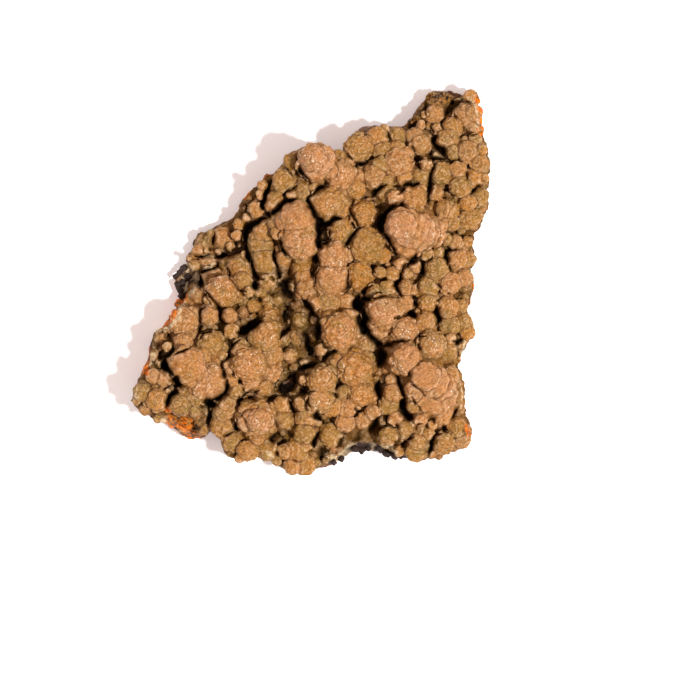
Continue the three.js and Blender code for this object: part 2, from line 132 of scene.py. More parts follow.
# Narrow crevices between the domes: half a width, then the points of the crevice (x, y)
CREVICES = (
    (0.4, (-19.7, 4.1), (-17.9, 4.0), (-16.0, 4.5), (-14.7, 4.0), (-12.0, 4.8), (-11.0, 5.5)),
    (0.6, (-12.6, 5.0), (-11.5, 5.3)), (0.7, (-18.4, 1.2), (-17.7, 0.3), (-17.9, -1.0)),
    (0.35, (-15.6, 7.9), (-15.8, 6.2), (-16.3, 5.3), (-16.0, 4.5)),
    (0.4, (-14.8, 3.2), (-15.0, 2.5), (-16.9, 1.9), (-17.9, 1.2)),
    (0.25, (-13.2, 2.2), (-13.2, 0.7), (-12.4, -0.2), (-11.6, -1.4), (-10.4, -1.7)),
    (0.35, (-9.6, 4.1), (-9.3, 2.5), (-9.0, 1.1), (-8.3, 0.4), (-7.5, 0.2)),
    (0.5, (-8.9, -0.5), (-8.7, -0.9)),
    (0.3, (-16.9, -1.4), (-16.4, -2.5), (-15.3, -3.5), (-14.7, -4.6), (-14.3, -5.9), (-13.7, -6.6)),
    (0.25, (-16.9, -4.5), (-17.6, -4.8), (-17.7, -5.9), (-17.7, -7.1)),
    (0.35, (-17.7, -7.2), (-17.9, -8.0)), (0.35, (-17.9, -9.2), (-16.9, -8.5), (-16.0, -8.3)),
    (0.2, (-23.1, -8.3), (-22.4, -9.2)), (0.8, (-11.4, -8.3), (-10.1, -7.7), (-8.8, -6.7), (-7.9, -6.4)),
    (0.3, (-11.4, -9.2), (-12.1, -9.8), (-12.7, -10.9)),
    (0.35, (-12.7, -12.1), (-13.4, -12.4), (-14.2, -12.9), (-14.3, -13.9), (-13.9, -15.0), (-13.4, -15.8)),
    (0.42, (-13.4, -15.8), (-13.4, -17.1), (-13.7, -18.1), (-14.7, -18.7), (-16.0, -19.0)),
    (0.8, (-16.3, -19.4), (-15.8, -19.8)),
    (0.4, (-15.8, -20.5), (-16.1, -21.6), (-16.4, -22.8), (-15.8, -24.1)),
    (0.35, (-22.3, -10.0), (-22.1, -10.9), (-22.8, -12.1), (-23.9, -12.4)),
    (0.65, (-23.4, -12.6), (-23.3, -13.7), (-22.6, -14.5), (-21.9, -15.4)),
    (0.75, (-21.6, -15.9), (-21.3, -16.8)),
    (0.4, (-21.5, -17.7), (-22.6, -18.5), (-23.1, -19.5), (-23.4, -20.2)),
    (0.3, (-24.1, -11.4), (-24.1, -12.4)), (0.25, (-19.2, -10.9), (-21.0, -11.3), (-21.8, -11.7)),
    (0.25, (-23.4, -17.3), (-22.8, -16.8)), (0.3, (-22.4, -21.1), (-21.8, -22.0), (-20.5, -22.4)),
    (0.4, (-11.9, -22.4), (-12.1, -23.4), (-11.3, -24.1)),
    (0.25, (-12.4, -24.1), (-13.4, -24.7), (-14.3, -25.2)),
    (0.3, (-11.6, -18.7), (-11.6, -20.0), (-11.9, -20.5)),
    (0.35, (-11.4, -19.2), (-9.8, -18.9), (-8.5, -19.2)),
    (0.3, (-10.4, -18.1), (-9.5, -17.7), (-8.5, -17.6)),
    (0.3, (-11.6, -15.5), (-11.1, -16.4), (-10.8, -16.9)), (0.3, (5.3, 21.1), (5.9, 20.2), (6.7, 19.7)),
    (0.35, (7.0, 19.3), (8.2, 18.7), (8.8, 19.0)), (0.3, (-2.0, 20.8), (-2.2, 19.5)),
    (0.45, (-1.9, 18.4), (-1.7, 17.6), (-1.1, 16.9), (-0.2, 16.4), (-0.1, 16.0)),
    (0.18, (-4.6, 18.5), (-3.5, 17.6), (-2.7, 16.9)),
    (0.3, (-2.3, 15.5), (-2.8, 14.8), (-3.6, 14.5), (-4.1, 14.0)),
    (0.42, (-6.2, 16.4), (-6.6, 15.1), (-7.2, 14.3), (-7.4, 13.2), (-7.7, 12.2), (-7.0, 11.3)),
    (0.6, (-6.8, 11.0), (-6.4, 10.5)),
    (0.45, (-6.4, 10.5), (-5.6, 11.1), (-4.8, 11.9), (-3.8, 12.7), (-2.3, 13.0)),
    (0.5, (-6.6, 10.4), (-7.9, 10.0), (-9.2, 9.2), (-10.3, 8.2), (-10.4, 6.7), (-10.4, 5.1), (-9.8, 3.2)),
    (0.3, (-10.4, 12.4), (-10.1, 11.1), (-9.6, 10.1)), (0.2, (2.3, 16.4), (2.8, 15.3)),
    (0.35, (2.8, 15.1), (1.5, 15.0), (0.7, 14.0), (-0.2, 13.2)),
    (0.5, (-0.2, 13.2), (-0.1, 12.2), (0.6, 11.1), (1.2, 10.0), (1.2, 8.7), (1.2, 7.0), (1.2, 5.8)),
    (0.7, (1.3, 9.9), (1.7, 9.3)), (0.7, (1.3, 6.3), (1.5, 5.7)),
    (0.42, (0.9, 4.8), (1.1, 3.8), (1.5, 2.5)), (0.3, (1.4, 2.0), (0.9, 0.9), (1.0, -0.3)),
    (0.5, (1.2, 9.6), (2.2, 9.2), (3.2, 9.3), (4.0, 10.1), (4.9, 10.1)), (0.3, (2.8, 8.3), (3.3, 7.2)),
    (0.35, (1.4, 6.1), (2.5, 6.2), (3.5, 6.6)), (0.3, (-4.8, 7.0), (-4.5, 5.9), (-4.0, 4.8), (-3.3, 3.8)),
    (0.35, (-5.8, 5.3), (-5.9, 4.1), (-5.6, 2.7), (-5.3, 1.4), (-4.9, 0.4)),
    (0.3, (-6.2, 0.6), (-5.8, 0.1)), (0.3, (-3.3, 2.2), (-3.3, 0.7)),
    (0.75, (-3.4, 0.3), (-4.1, -0.4), (-4.0, -1.5), (-3.3, -2.3), (-2.8, -3.0)),
    (0.5, (-4.9, -0.7), (-4.1, -0.5)), (0.55, (-4.0, -3.5), (-3.8, -4.6)),
    (0.9, (-4.1, -5.0), (-4.2, -6.2)), (0.5, (-4.0, -6.9), (-3.6, -7.7), (-4.5, -8.3), (-4.9, -9.2)),
    (0.5, (-1.1, -3.0), (-0.6, -3.8), (0.1, -4.8), (0.9, -5.6)),
    (0.75, (-0.9, -8.3), (-0.6, -9.5), (-0.4, -10.6), (0.2, -11.7), (0.9, -12.4)),
    (0.6, (1.4, -6.7), (1.4, -8.0), (1.5, -9.2)), (0.35, (4.3, -11.1), (3.3, -11.7), (2.2, -12.4)),
    (0.3, (1.9, -9.6), (2.3, -10.6), (3.2, -10.9)), (0.85, (7.7, -2.7), (7.6, -3.8), (8.0, -4.8)),
    (0.6, (7.9, -5.1), (8.0, -6.6), (8.5, -7.9), (9.3, -8.3)), (0.5, (8.7, -3.0), (9.5, -3.0)),
    (0.3, (6.2, 1.9), (6.1, 0.6), (6.1, -0.7), (5.6, -1.5), (5.1, -1.9)),
    (0.35, (8.8, 8.7), (7.9, 8.5), (7.0, 8.0), (6.2, 6.4), (5.6, 5.4)),
    (0.3, (6.4, 11.9), (6.4, 10.8), (6.9, 10.0), (7.5, 9.0), (8.3, 8.5)),
    (0.2, (6.6, 5.1), (6.9, 3.8), (7.4, 3.5)), (0.2, (8.2, 13.4), (9.5, 13.5)),
    (0.5, (-1.9, -14.2), (-0.7, -13.7), (1.2, -13.4)),
    (1.0, (-2.6, -14.9), (-3.2, -15.7), (-3.8, -16.6), (-4.4, -17.7), (-4.3, -18.3)),
    (0.4, (-3.4, -18.9), (-3.0, -20.2), (-2.5, -21.0)), (0.4, (-1.0, -17.7), (-0.4, -17.9)),
    (0.25, (-0.4, -18.5), (-0.6, -19.5), (-0.1, -20.2)),
    (0.25, (-1.2, -16.6), (-0.2, -17.6), (0.7, -17.7)), (0.35, (4.9, -15.6), (4.3, -16.4), (4.1, -17.3)),
    (0.25, (3.8, -17.9), (4.5, -18.7)), (0.2, (6.1, -18.2), (5.9, -19.0)),
    (0.55, (1.2, -21.0), (0.9, -21.8), (1.7, -22.3)),
    (0.35, (1.5, -24.4), (0.7, -25.4), (0.4, -26.2), (0.6, -26.6)),
    (0.5, (1.7, -26.8), (1.9, -27.6), (1.7, -28.6)), (0.35, (4.1, -26.8), (4.8, -25.8), (5.3, -25.2)),
    (0.25, (5.1, -24.1), (5.6, -24.4)), (0.2, (3.2, -22.0), (4.0, -23.1)),
    (0.5, (-6.2, -25.5), (-5.6, -25.0)), (0.3, (-5.4, -26.3), (-4.5, -25.8), (-4.0, -25.7)),
    (0.3, (-5.6, -27.7), (-5.5, -27.9)), (0.25, (-5.6, -22.3), (-5.3, -23.6)),
    (0.3, (-6.4, -18.7), (-7.7, -18.5)), (0.3, (-5.3, -18.7), (-6.4, -18.9), (-6.6, -19.7)),
    (0.3, (7.9, -24.1), (7.9, -25.4), (6.9, -25.8)), (0.25, (7.1, -20.6), (7.3, -20.8)),
    (0.25, (-3.2, -28.6), (-2.2, -28.8)), (0.6, (24.4, 29.4), (23.4, 28.8), (22.6, 27.9), (22.0, 27.1)),
    (0.3, (19.5, 24.7), (19.7, 23.7)),
    (0.45, (20.5, 23.2), (19.8, 22.6), (20.0, 21.8), (21.3, 21.3), (21.8, 20.5)),
    (0.35, (19.5, 20.5), (18.9, 19.8), (20.2, 19.8), (21.6, 20.0)),
    (0.25, (18.5, 19.7), (17.4, 19.7), (16.6, 18.9)),
    (0.35, (20.0, 18.9), (19.5, 17.7), (19.2, 16.4), (19.4, 15.3), (18.9, 14.2), (18.9, 12.7)),
    (0.25, (17.7, 19.0), (17.7, 18.4)), (0.25, (21.5, 14.7), (22.6, 14.8)),
    (0.4, (16.3, 16.3), (15.5, 15.6), (16.4, 15.3), (17.6, 15.6)),
    (0.3, (15.5, 15.4), (15.1, 14.8), (14.0, 14.0)),
    (0.4, (12.2, 15.5), (11.3, 15.3), (10.6, 14.5), (10.1, 13.7)), (0.25, (13.4, 15.3), (14.1, 15.5)),
    (0.35, (15.1, 12.4), (13.9, 12.4)),
    (0.55, (13.9, 12.4), (12.7, 11.4), (11.7, 10.1), (11.4, 8.7), (11.7, 7.7)),
    (0.4, (11.7, 7.7), (12.7, 6.6), (13.4, 5.3), (13.9, 4.5)),
    (0.25, (12.4, 24.2), (12.7, 23.2), (13.0, 22.6)), (0.35, (16.1, 24.7), (17.1, 24.9), (17.3, 25.8)),
    (0.2, (16.3, 21.6), (16.9, 20.8)), (0.3, (18.7, 26.8), (18.9, 28.3), (18.2, 29.6)),
    (0.2, (21.5, 24.5), (21.3, 25.5), (21.8, 26.2)), (0.2, (23.2, 27.1), (23.6, 26.0)),
    (0.2, (25.8, 23.6), (26.6, 23.7)), (0.3, (27.8, 15.6), (26.8, 15.1), (26.0, 14.3), (25.7, 13.9)),
    (0.2, (25.2, 17.4), (25.2, 16.4)), (0.5, (17.1, 4.5), (16.6, 3.5), (16.1, 2.8)),
    (0.35, (16.1, 2.8), (15.0, 2.2), (14.7, 1.2), (14.7, 0.2)),
    (0.4, (14.7, 0.2), (13.5, -0.7), (14.2, -1.4), (14.7, -2.3)),
    (0.4, (18.2, 3.2), (18.1, 2.2), (18.1, 0.9)), (0.25, (19.8, 4.0), (19.4, 3.5), (18.4, 3.0)),
    (0.4, (23.4, 5.1), (22.1, 4.9), (21.6, 4.1), (22.0, 2.8)), (0.25, (22.0, 2.8), (22.6, 1.9)),
    (0.3, (20.5, -0.4), (21.1, -1.2)), (0.2, (17.4, -0.4), (17.3, -1.2)),
    (0.25, (10.1, 2.8), (10.3, 1.4)), (0.3, (8.7, -2.5), (8.7, -1.5), (9.3, -0.9), (10.0, -0.6)),
    (0.3, (9.5, -3.0), (10.6, -2.5), (12.1, -2.5), (14.2, -2.5)),
    (0.55, (8.3, -4.5), (9.0, -5.9), (8.5, -7.0), (9.2, -8.0), (10.0, -9.2), (10.9, -10.0), (11.9, -10.6)),
    (0.85, (11.4, -11.0), (11.3, -12.7), (11.0, -13.3)),
    (0.3, (11.9, -10.6), (13.4, -10.0), (14.7, -9.6), (15.8, -9.5)), (0.7, (15.8, -5.1), (16.8, -5.6)),
    (0.3, (16.6, -3.3), (17.3, -4.1)), (0.45, (20.2, -3.8), (20.5, -4.9), (20.8, -6.2), (20.5, -7.2)),
    (0.25, (13.5, -6.1), (14.3, -5.6)), (0.3, (17.4, -9.6), (17.7, -9.0), (18.5, -8.8)),
    (0.25, (17.3, -10.3), (17.6, -11.1)), (0.4, (23.2, -9.8), (24.1, -9.5)),
    (0.3, (23.6, -11.4), (24.1, -12.2)), (0.25, (22.1, -2.0), (22.3, -2.0)),
    (0.35, (25.7, -2.3), (25.8, -3.2)), (0.5, (11.1, -16.0), (10.8, -16.9), (10.9, -17.7), (11.4, -18.9)),
    (0.35, (13.2, -14.7), (14.0, -15.3), (14.3, -16.6), (14.8, -17.7), (15.3, -18.9)),
    (0.5, (15.3, -18.9), (14.8, -19.7), (14.7, -20.5), (15.3, -21.3), (16.0, -22.0), (16.6, -22.3)),
    (0.25, (16.3, -14.3), (15.8, -15.3)), (0.2, (16.1, -16.6), (17.1, -17.1), (17.7, -17.6)),
    (0.25, (16.3, -18.7), (16.9, -19.8)), (0.3, (12.6, -21.5), (12.4, -22.8)),
    (0.6, (10.6, -22.1), (10.4, -23.4), (9.8, -24.1)), (0.3, (14.0, -23.1), (14.2, -23.7)),
    (0.45, (19.5, -22.0), (20.0, -22.9)), (0.3, (21.5, -23.2), (21.6, -24.1), (22.4, -24.5)),
    (0.4, (21.3, -24.5), (20.3, -24.7), (19.5, -25.7), (19.4, -26.8), (19.2, -28.1)),
    (0.25, (16.9, -24.1), (17.3, -23.2), (18.2, -23.1)), (0.35, (15.6, -25.5), (16.6, -25.2)),
    (0.25, (14.8, -26.6), (15.1, -25.8)), (0.3, (13.7, -25.7), (13.8, -25.9)),
    (0.3, (10.4, -26.0), (10.0, -26.8)), (0.35, (22.9, -21.8), (23.3, -20.9)),
)

# Pale broken edges of the crust, and orange rust: half a width, then the points (x, y)
CREAM_LINES = (
    (0.4, (-19.9, 2.9), (-18.9, 1.6), (-18.4, 0.2), (-18.5, -1.0), (-19.6, -2.5)),
    (0.25, (-19.5, 2.4), (-20.3, 1.0), (-19.8, -0.6)),
    (0.45, (-20.0, -3.1), (-21.0, -4.3), (-21.3, -5.9), (-22.3, -7.0), (-23.6, -7.9), (-24.7, -8.0)),
    (0.35, (-25.4, -11.9), (-25.8, -13.5), (-26.3, -15.1)), (0.4, (-27.9, -17.2), (-28.2, -18.6)),
    (0.3, (-17.6, 2.4), (-16.2, 2.2), (-15.4, 3.2), (-16.0, 3.9), (-17.4, 4.2)),
    (0.45, (3.0, -28.3), (5.4, -28.1), (6.4, -27.0), (8.4, -26.9)),
    (0.35, (11.0, -26.7), (12.9, -26.5), (13.8, -27.6)),
    (0.3, (25.6, 29.6), (26.7, 28.6), (27.0, 26.6), (26.9, 24.4)),
    (0.2, (24.2, -9.7), (25.0, -9.6), (24.3, -12.4)), (0.18, (24.3, -16.6), (24.5, -18.5), (24.3, -20.4)),
    (0.35, (-6.9, -27.6), (-6.0, -28.4)),
)
ORANGE_LINES = (
    (0.6, (-22.2, -3.7), (-21.4, -3.2), (-20.2, -2.7)),
    (0.75, (-24.8, -7.4), (-23.6, -6.6), (-22.7, -5.7), (-21.8, -5.0)),
    (0.35, (-26.2, -10.4), (-26.1, -11.8)), (0.55, (-26.4, -13.3), (-26.5, -14.8)),
    (0.5, (-23.2, -20.9), (-22.7, -21.8)), (1.0, (-21.4, -23.3), (-20.4, -23.3)),
    (0.5, (-20.6, -22.4), (-19.6, -22.3)), (0.55, (27.1, 29.5), (27.6, 27.6), (28.0, 25.6), (27.5, 24.1)),
    (0.4, (26.4, -0.8), (26.4, -1.4)), (0.35, (25.1, -23.4), (25.7, -24.8)),
    (0.5, (-7.4, 17.3), (-6.6, 17.4)), (0.35, (-11.2, 13.5), (-9.3, 15.1)),
)

# The specimen's outline seen from above, clockwise from its narrow tip
OUTLINE = (
    (25.0, 30.5), (25.8, 31.3), (27.0, 30.4), (27.5, 29.4), (28.1, 26.2), (27.6, 24.1), (28.6, 22.0),
    (29.1, 17.7), (28.6, 15.5), (29.1, 13.7), (27.8, 10.3), (26.8, 7.9), (26.2, 6.1), (26.8, 3.8),
    (26.0, 1.5), (26.6, -0.6), (26.0, -3.2), (25.2, -4.6), (26.3, -6.9), (26.6, -8.5), (24.9, -11.1),
    (23.6, -14.5), (24.7, -16.4), (24.9, -20.2), (24.7, -21.6), (26.0, -25.4), (25.4, -26.8),
    (23.4, -27.5), (21.3, -28.4), (17.4, -29.1), (14.0, -28.8), (10.9, -27.6), (6.4, -27.8), (4.8, -29.4),
    (0.9, -30.7), (-1.7, -31.4), (-4.1, -30.7), (-6.6, -29.1), (-8.8, -28.6), (-11.3, -29.4),
    (-13.7, -28.1), (-14.8, -25.7), (-16.0, -23.7), (-17.4, -25.4), (-19.5, -25.7), (-23.6, -23.2),
    (-26.0, -22.1), (-27.9, -20.8), (-29.1, -19.4), (-27.8, -15.8), (-26.5, -13.0), (-26.2, -10.3),
    (-25.0, -8.0), (-21.6, -4.8), (-22.4, -3.8), (-21.5, -2.7), (-22.3, 0.1), (-20.2, 3.0), (-20.5, 4.0),
    (-19.5, 5.1), (-19.0, 7.0), (-17.1, 8.2), (-12.9, 10.3), (-11.6, 11.7), (-11.7, 12.6), (-9.8, 14.8),
    (-7.9, 16.3), (-7.5, 17.4), (-6.2, 17.4), (-4.1, 19.7), (-3.6, 20.8), (-0.1, 22.3), (1.5, 22.4),
    (3.0, 21.3), (5.1, 21.1), (6.2, 23.2), (7.2, 24.2), (8.8, 25.4), (12.4, 25.2), (15.5, 25.2),
    (16.3, 26.5), (16.9, 27.2), (17.9, 28.7), (20.0, 30.9), (22.6, 31.2), (24.2, 30.5),
)

# The beads: x, y, radius, rank, and the way of growing where it isn't the size's own
HEADS = (
    (16.6, 13.5, 1.9, RAISED), (13.7, 13.4, 1.5, RAISED), (-2.0, 10.1, 2.4, HEAD, Form.SCALY),
    (-1.7, 6.4, 2.5, HEAD, Form.SCALY), (-5.3, 9.6, 1.3, RAISED), (-7.4, 8.2, 1.6, PLAIN),
    (-7.9, 5.8, 1.6, PLAIN), (-7.5, 3.2, 1.6, PLAIN), (-6.9, -0.1, 1.5, PLAIN),
    (0.9, 19.2, 2.8, HEAD, Form.SCALY), (0.4, 19.7, 1.6, TALL, Form.STEPPED), (4.8, 17.1, 1.8, RAISED),
    (2.7, 12.6, 2.1, RAISED), (3.6, 4.0, 2.3, RAISED), (3.6, 0.4, 2.1, RAISED),
    (-19.8, -13.5, 2.5, HEAD, Form.SCALY), (-16.6, -16.0, 2.8, RAISED, Form.SCALY),
    (15.5, -12.6, 2.6, HEAD, Form.SCALY), (22.6, -15.0, 1.6, RAISED), (16.9, -17.6, 1.9, RAISED),
    (19.4, -10.4, 1.9, RAISED), (22.0, -11.4, 1.3, PLAIN), (-8.7, -22.0, 2.9, RAISED, Form.SCALY),
    (-8.2, -22.4, 1.5, HEAD, Form.STEPPED), (-9.8, -13.4, 2.1, RAISED), (-7.2, -8.8, 1.9, RAISED),
    (-14.2, -1.7, 2.1, RAISED), (-12.7, -1.1, 1.5, PLAIN), (11.7, -4.8, 2.3, HEAD, Form.SCALY),
    (10.9, -7.4, 1.8, RAISED), (15.1, -7.9, 2.3, RAISED), (4.8, -8.0, 2.6, HEAD, Form.STEPPED),
    (6.4, -6.2, 1.6, RAISED), (7.0, -14.0, 2.1, RAISED), (1.9, -16.1, 2.1, RAISED),
    (1.4, -19.2, 1.8, RAISED),
)
WESTERN_BEADS = (
    (-17.4, 6.6, 1.5, PLAIN), (-14.3, 7.0, 1.5, PLAIN), (-16.8, 3.0, 1.3, PLAIN),
    (-13.4, 2.7, 1.3, PLAIN), (-16.0, 0.7, 1.3, PLAIN), (-11.3, 1.9, 1.8, PLAIN),
    (-10.9, -0.2, 1.3, PLAIN), (-16.3, -5.6, 1.6, PLAIN), (-20.4, -6.6, 2.3, PLAIN),
    (-24.3, -9.2, 1.4, DEEP), (-16.1, -10.3, 1.9, PLAIN), (-20.5, -10.0, 1.5, PLAIN),
    (-18.7, -18.2, 1.5, PLAIN), (-23.6, -15.6, 1.5, PLAIN), (-27.0, -17.9, 1.6, PLAIN),
    (-24.7, -19.0, 1.6, PLAIN), (-21.1, -20.0, 1.6, PLAIN), (-18.7, -20.8, 1.3, DEEP),
    (-13.2, -13.7, 1.3, PLAIN), (-9.5, -16.0, 1.5, PLAIN), (-13.7, -20.3, 1.8, PLAIN),
    (-14.0, -23.1, 1.7, PLAIN), (-12.5, -25.8, 1.9, PLAIN), (-10.0, -27.3, 1.5, PLAIN),
    (-11.3, -10.3, 1.3, PLAIN), (-9.0, -11.4, 1.3, PLAIN), (-6.6, -11.9, 1.5, PLAIN),
    (-6.6, -5.4, 1.3, DEEP), (-10.9, -3.0, 1.1, DEEP), (-6.4, -14.5, 1.3, PLAIN),
    (-7.5, -17.1, 1.5, PLAIN), (-7.0, -27.2, 1.6, PLAIN), (-17.4, -24.1, 1.1, PLAIN),
    (-18.0, -2.3, 1.1, PLAIN), (-12.9, 5.6, 0.7, PLAIN), (-18.2, 4.9, 0.8, PLAIN),
    (-15.0, 4.6, 0.8, PLAIN), (-11.9, 7.4, 0.7, PLAIN), (-10.4, 7.0, 0.8, PLAIN),
    (-18.7, 2.6, 0.7, PLAIN), (-19.6, 3.8, 0.7, PLAIN), (-10.3, 4.3, 1.0, PLAIN),
    (-16.6, -3.0, 0.7, PLAIN), (-19.5, -3.6, 0.8, DEEP), (-13.0, -5.6, 1.0, PLAIN),
    (-10.9, -5.1, 0.8, DEEP), (-9.8, -1.7, 1.0, PLAIN), (-12.7, -8.0, 1.0, PLAIN),
    (-22.9, -10.6, 0.7, PLAIN), (-24.9, -11.9, 1.0, DEEP), (-15.8, -13.2, 1.0, PLAIN),
    (-20.5, -17.3, 1.0, PLAIN), (-25.2, -15.3, 1.0, PLAIN), (-22.6, -17.4, 0.8, DEEP),
    (-16.9, -22.0, 1.0, DEEP), (-19.2, -24.2, 1.0, DEEP), (-14.0, -12.0, 0.7, PLAIN),
    (-12.6, -16.1, 0.8, PLAIN), (-12.1, -17.6, 1.0, PLAIN), (-10.4, -18.9, 0.6, PLAIN),
    (-11.4, -28.6, 0.7, PLAIN), (-10.4, -22.8, 1.1, RAISED), (-6.6, -20.0, 0.8, PLAIN),
    (-8.5, -25.0, 1.1, PLAIN),
)
MIDDLE_BEADS = (
    (-3.0, 19.4, 1.5, PLAIN), (-4.3, 16.1, 1.8, PLAIN), (-8.7, 11.4, 1.5, PLAIN),
    (-5.9, 12.7, 1.3, PLAIN), (-1.2, 14.5, 1.5, PLAIN), (-4.3, 3.5, 1.3, PLAIN), (4.9, 11.7, 1.3, PLAIN),
    (4.8, 14.0, 1.3, PLAIN), (4.8, 8.2, 1.8, PLAIN), (7.2, 14.8, 1.3, PLAIN), (8.5, 10.8, 1.9, PLAIN),
    (-1.5, 2.6, 1.6, DEEP), (-0.4, -1.1, 1.6, PLAIN, Form.STEPPED), (9.0, 5.8, 2.1, PLAIN),
    (7.9, 0.9, 1.8, PLAIN), (-1.7, -6.2, 1.3, DEEP), (3.0, -3.3, 1.6, PLAIN), (5.6, -3.5, 1.3, PLAIN),
    (-3.3, -11.9, 1.3, DEEP), (4.1, -12.7, 1.3, PLAIN), (8.8, -10.3, 1.5, PLAIN),
    (-4.5, -20.0, 1.3, PLAIN), (-4.3, -22.4, 1.5, PLAIN), (-2.2, -27.1, 1.5, PLAIN),
    (-2.8, -29.8, 1.3, PLAIN), (-0.9, -29.6, 1.3, PLAIN), (-0.9, -24.5, 1.3, PLAIN),
    (-0.7, -22.1, 1.3, PLAIN), (3.3, -24.7, 1.6, PLAIN), (8.2, -18.1, 1.6, PLAIN),
    (5.8, -20.5, 1.5, PLAIN), (3.5, -20.2, 1.3, PLAIN), (5.6, -22.8, 1.3, PLAIN),
    (-1.5, -19.7, 1.1, PLAIN), (4.5, 20.1, 1.0, PLAIN), (-7.7, 15.5, 0.8, PLAIN),
    (-8.0, 14.0, 0.8, PLAIN), (-9.1, 14.4, 0.8, DEEP), (-10.3, 10.3, 0.8, PLAIN),
    (-3.0, 14.0, 1.0, PLAIN), (0.7, 15.1, 0.8, PLAIN), (-4.5, 0.9, 0.7, DEEP), (2.3, 7.2, 0.8, DEEP),
    (7.5, 16.8, 1.1, PLAIN), (-1.2, 0.9, 1.4, DEEP), (-3.2, -1.1, 0.7, DEEP), (-2.2, -3.8, 0.8, DEEP),
    (-1.4, -4.9, 0.8, DEEP), (0.6, -3.6, 1.0, PLAIN), (2.5, -5.1, 1.0, PLAIN), (-4.1, -9.5, 0.8, DEEP),
    (-2.3, -9.6, 0.7, DEEP), (-3.0, -8.5, 0.8, DEEP), (-6.9, -3.3, 1.1, DEEP), (-5.3, -3.0, 1.0, DEEP),
    (-4.5, -1.9, 0.8, DEEP), (1.7, -11.1, 1.1, PLAIN), (0.4, -9.0, 0.8, DEEP), (-2.7, -13.9, 0.6, DEEP),
    (-1.1, -16.0, 0.8, PLAIN), (-2.3, -17.9, 1.0, DEEP), (5.3, -17.9, 1.1, PLAIN),
    (6.9, -24.5, 1.0, PLAIN), (4.0, -27.4, 1.1, PLAIN), (1.1, -24.1, 0.8, DEEP), (-3.8, -25.2, 0.8, DEEP),
    (-4.3, -27.5, 1.0, PLAIN), (-5.4, -29.0, 0.8, PLAIN), (-5.3, 7.7, 1.1, RAISED),
)
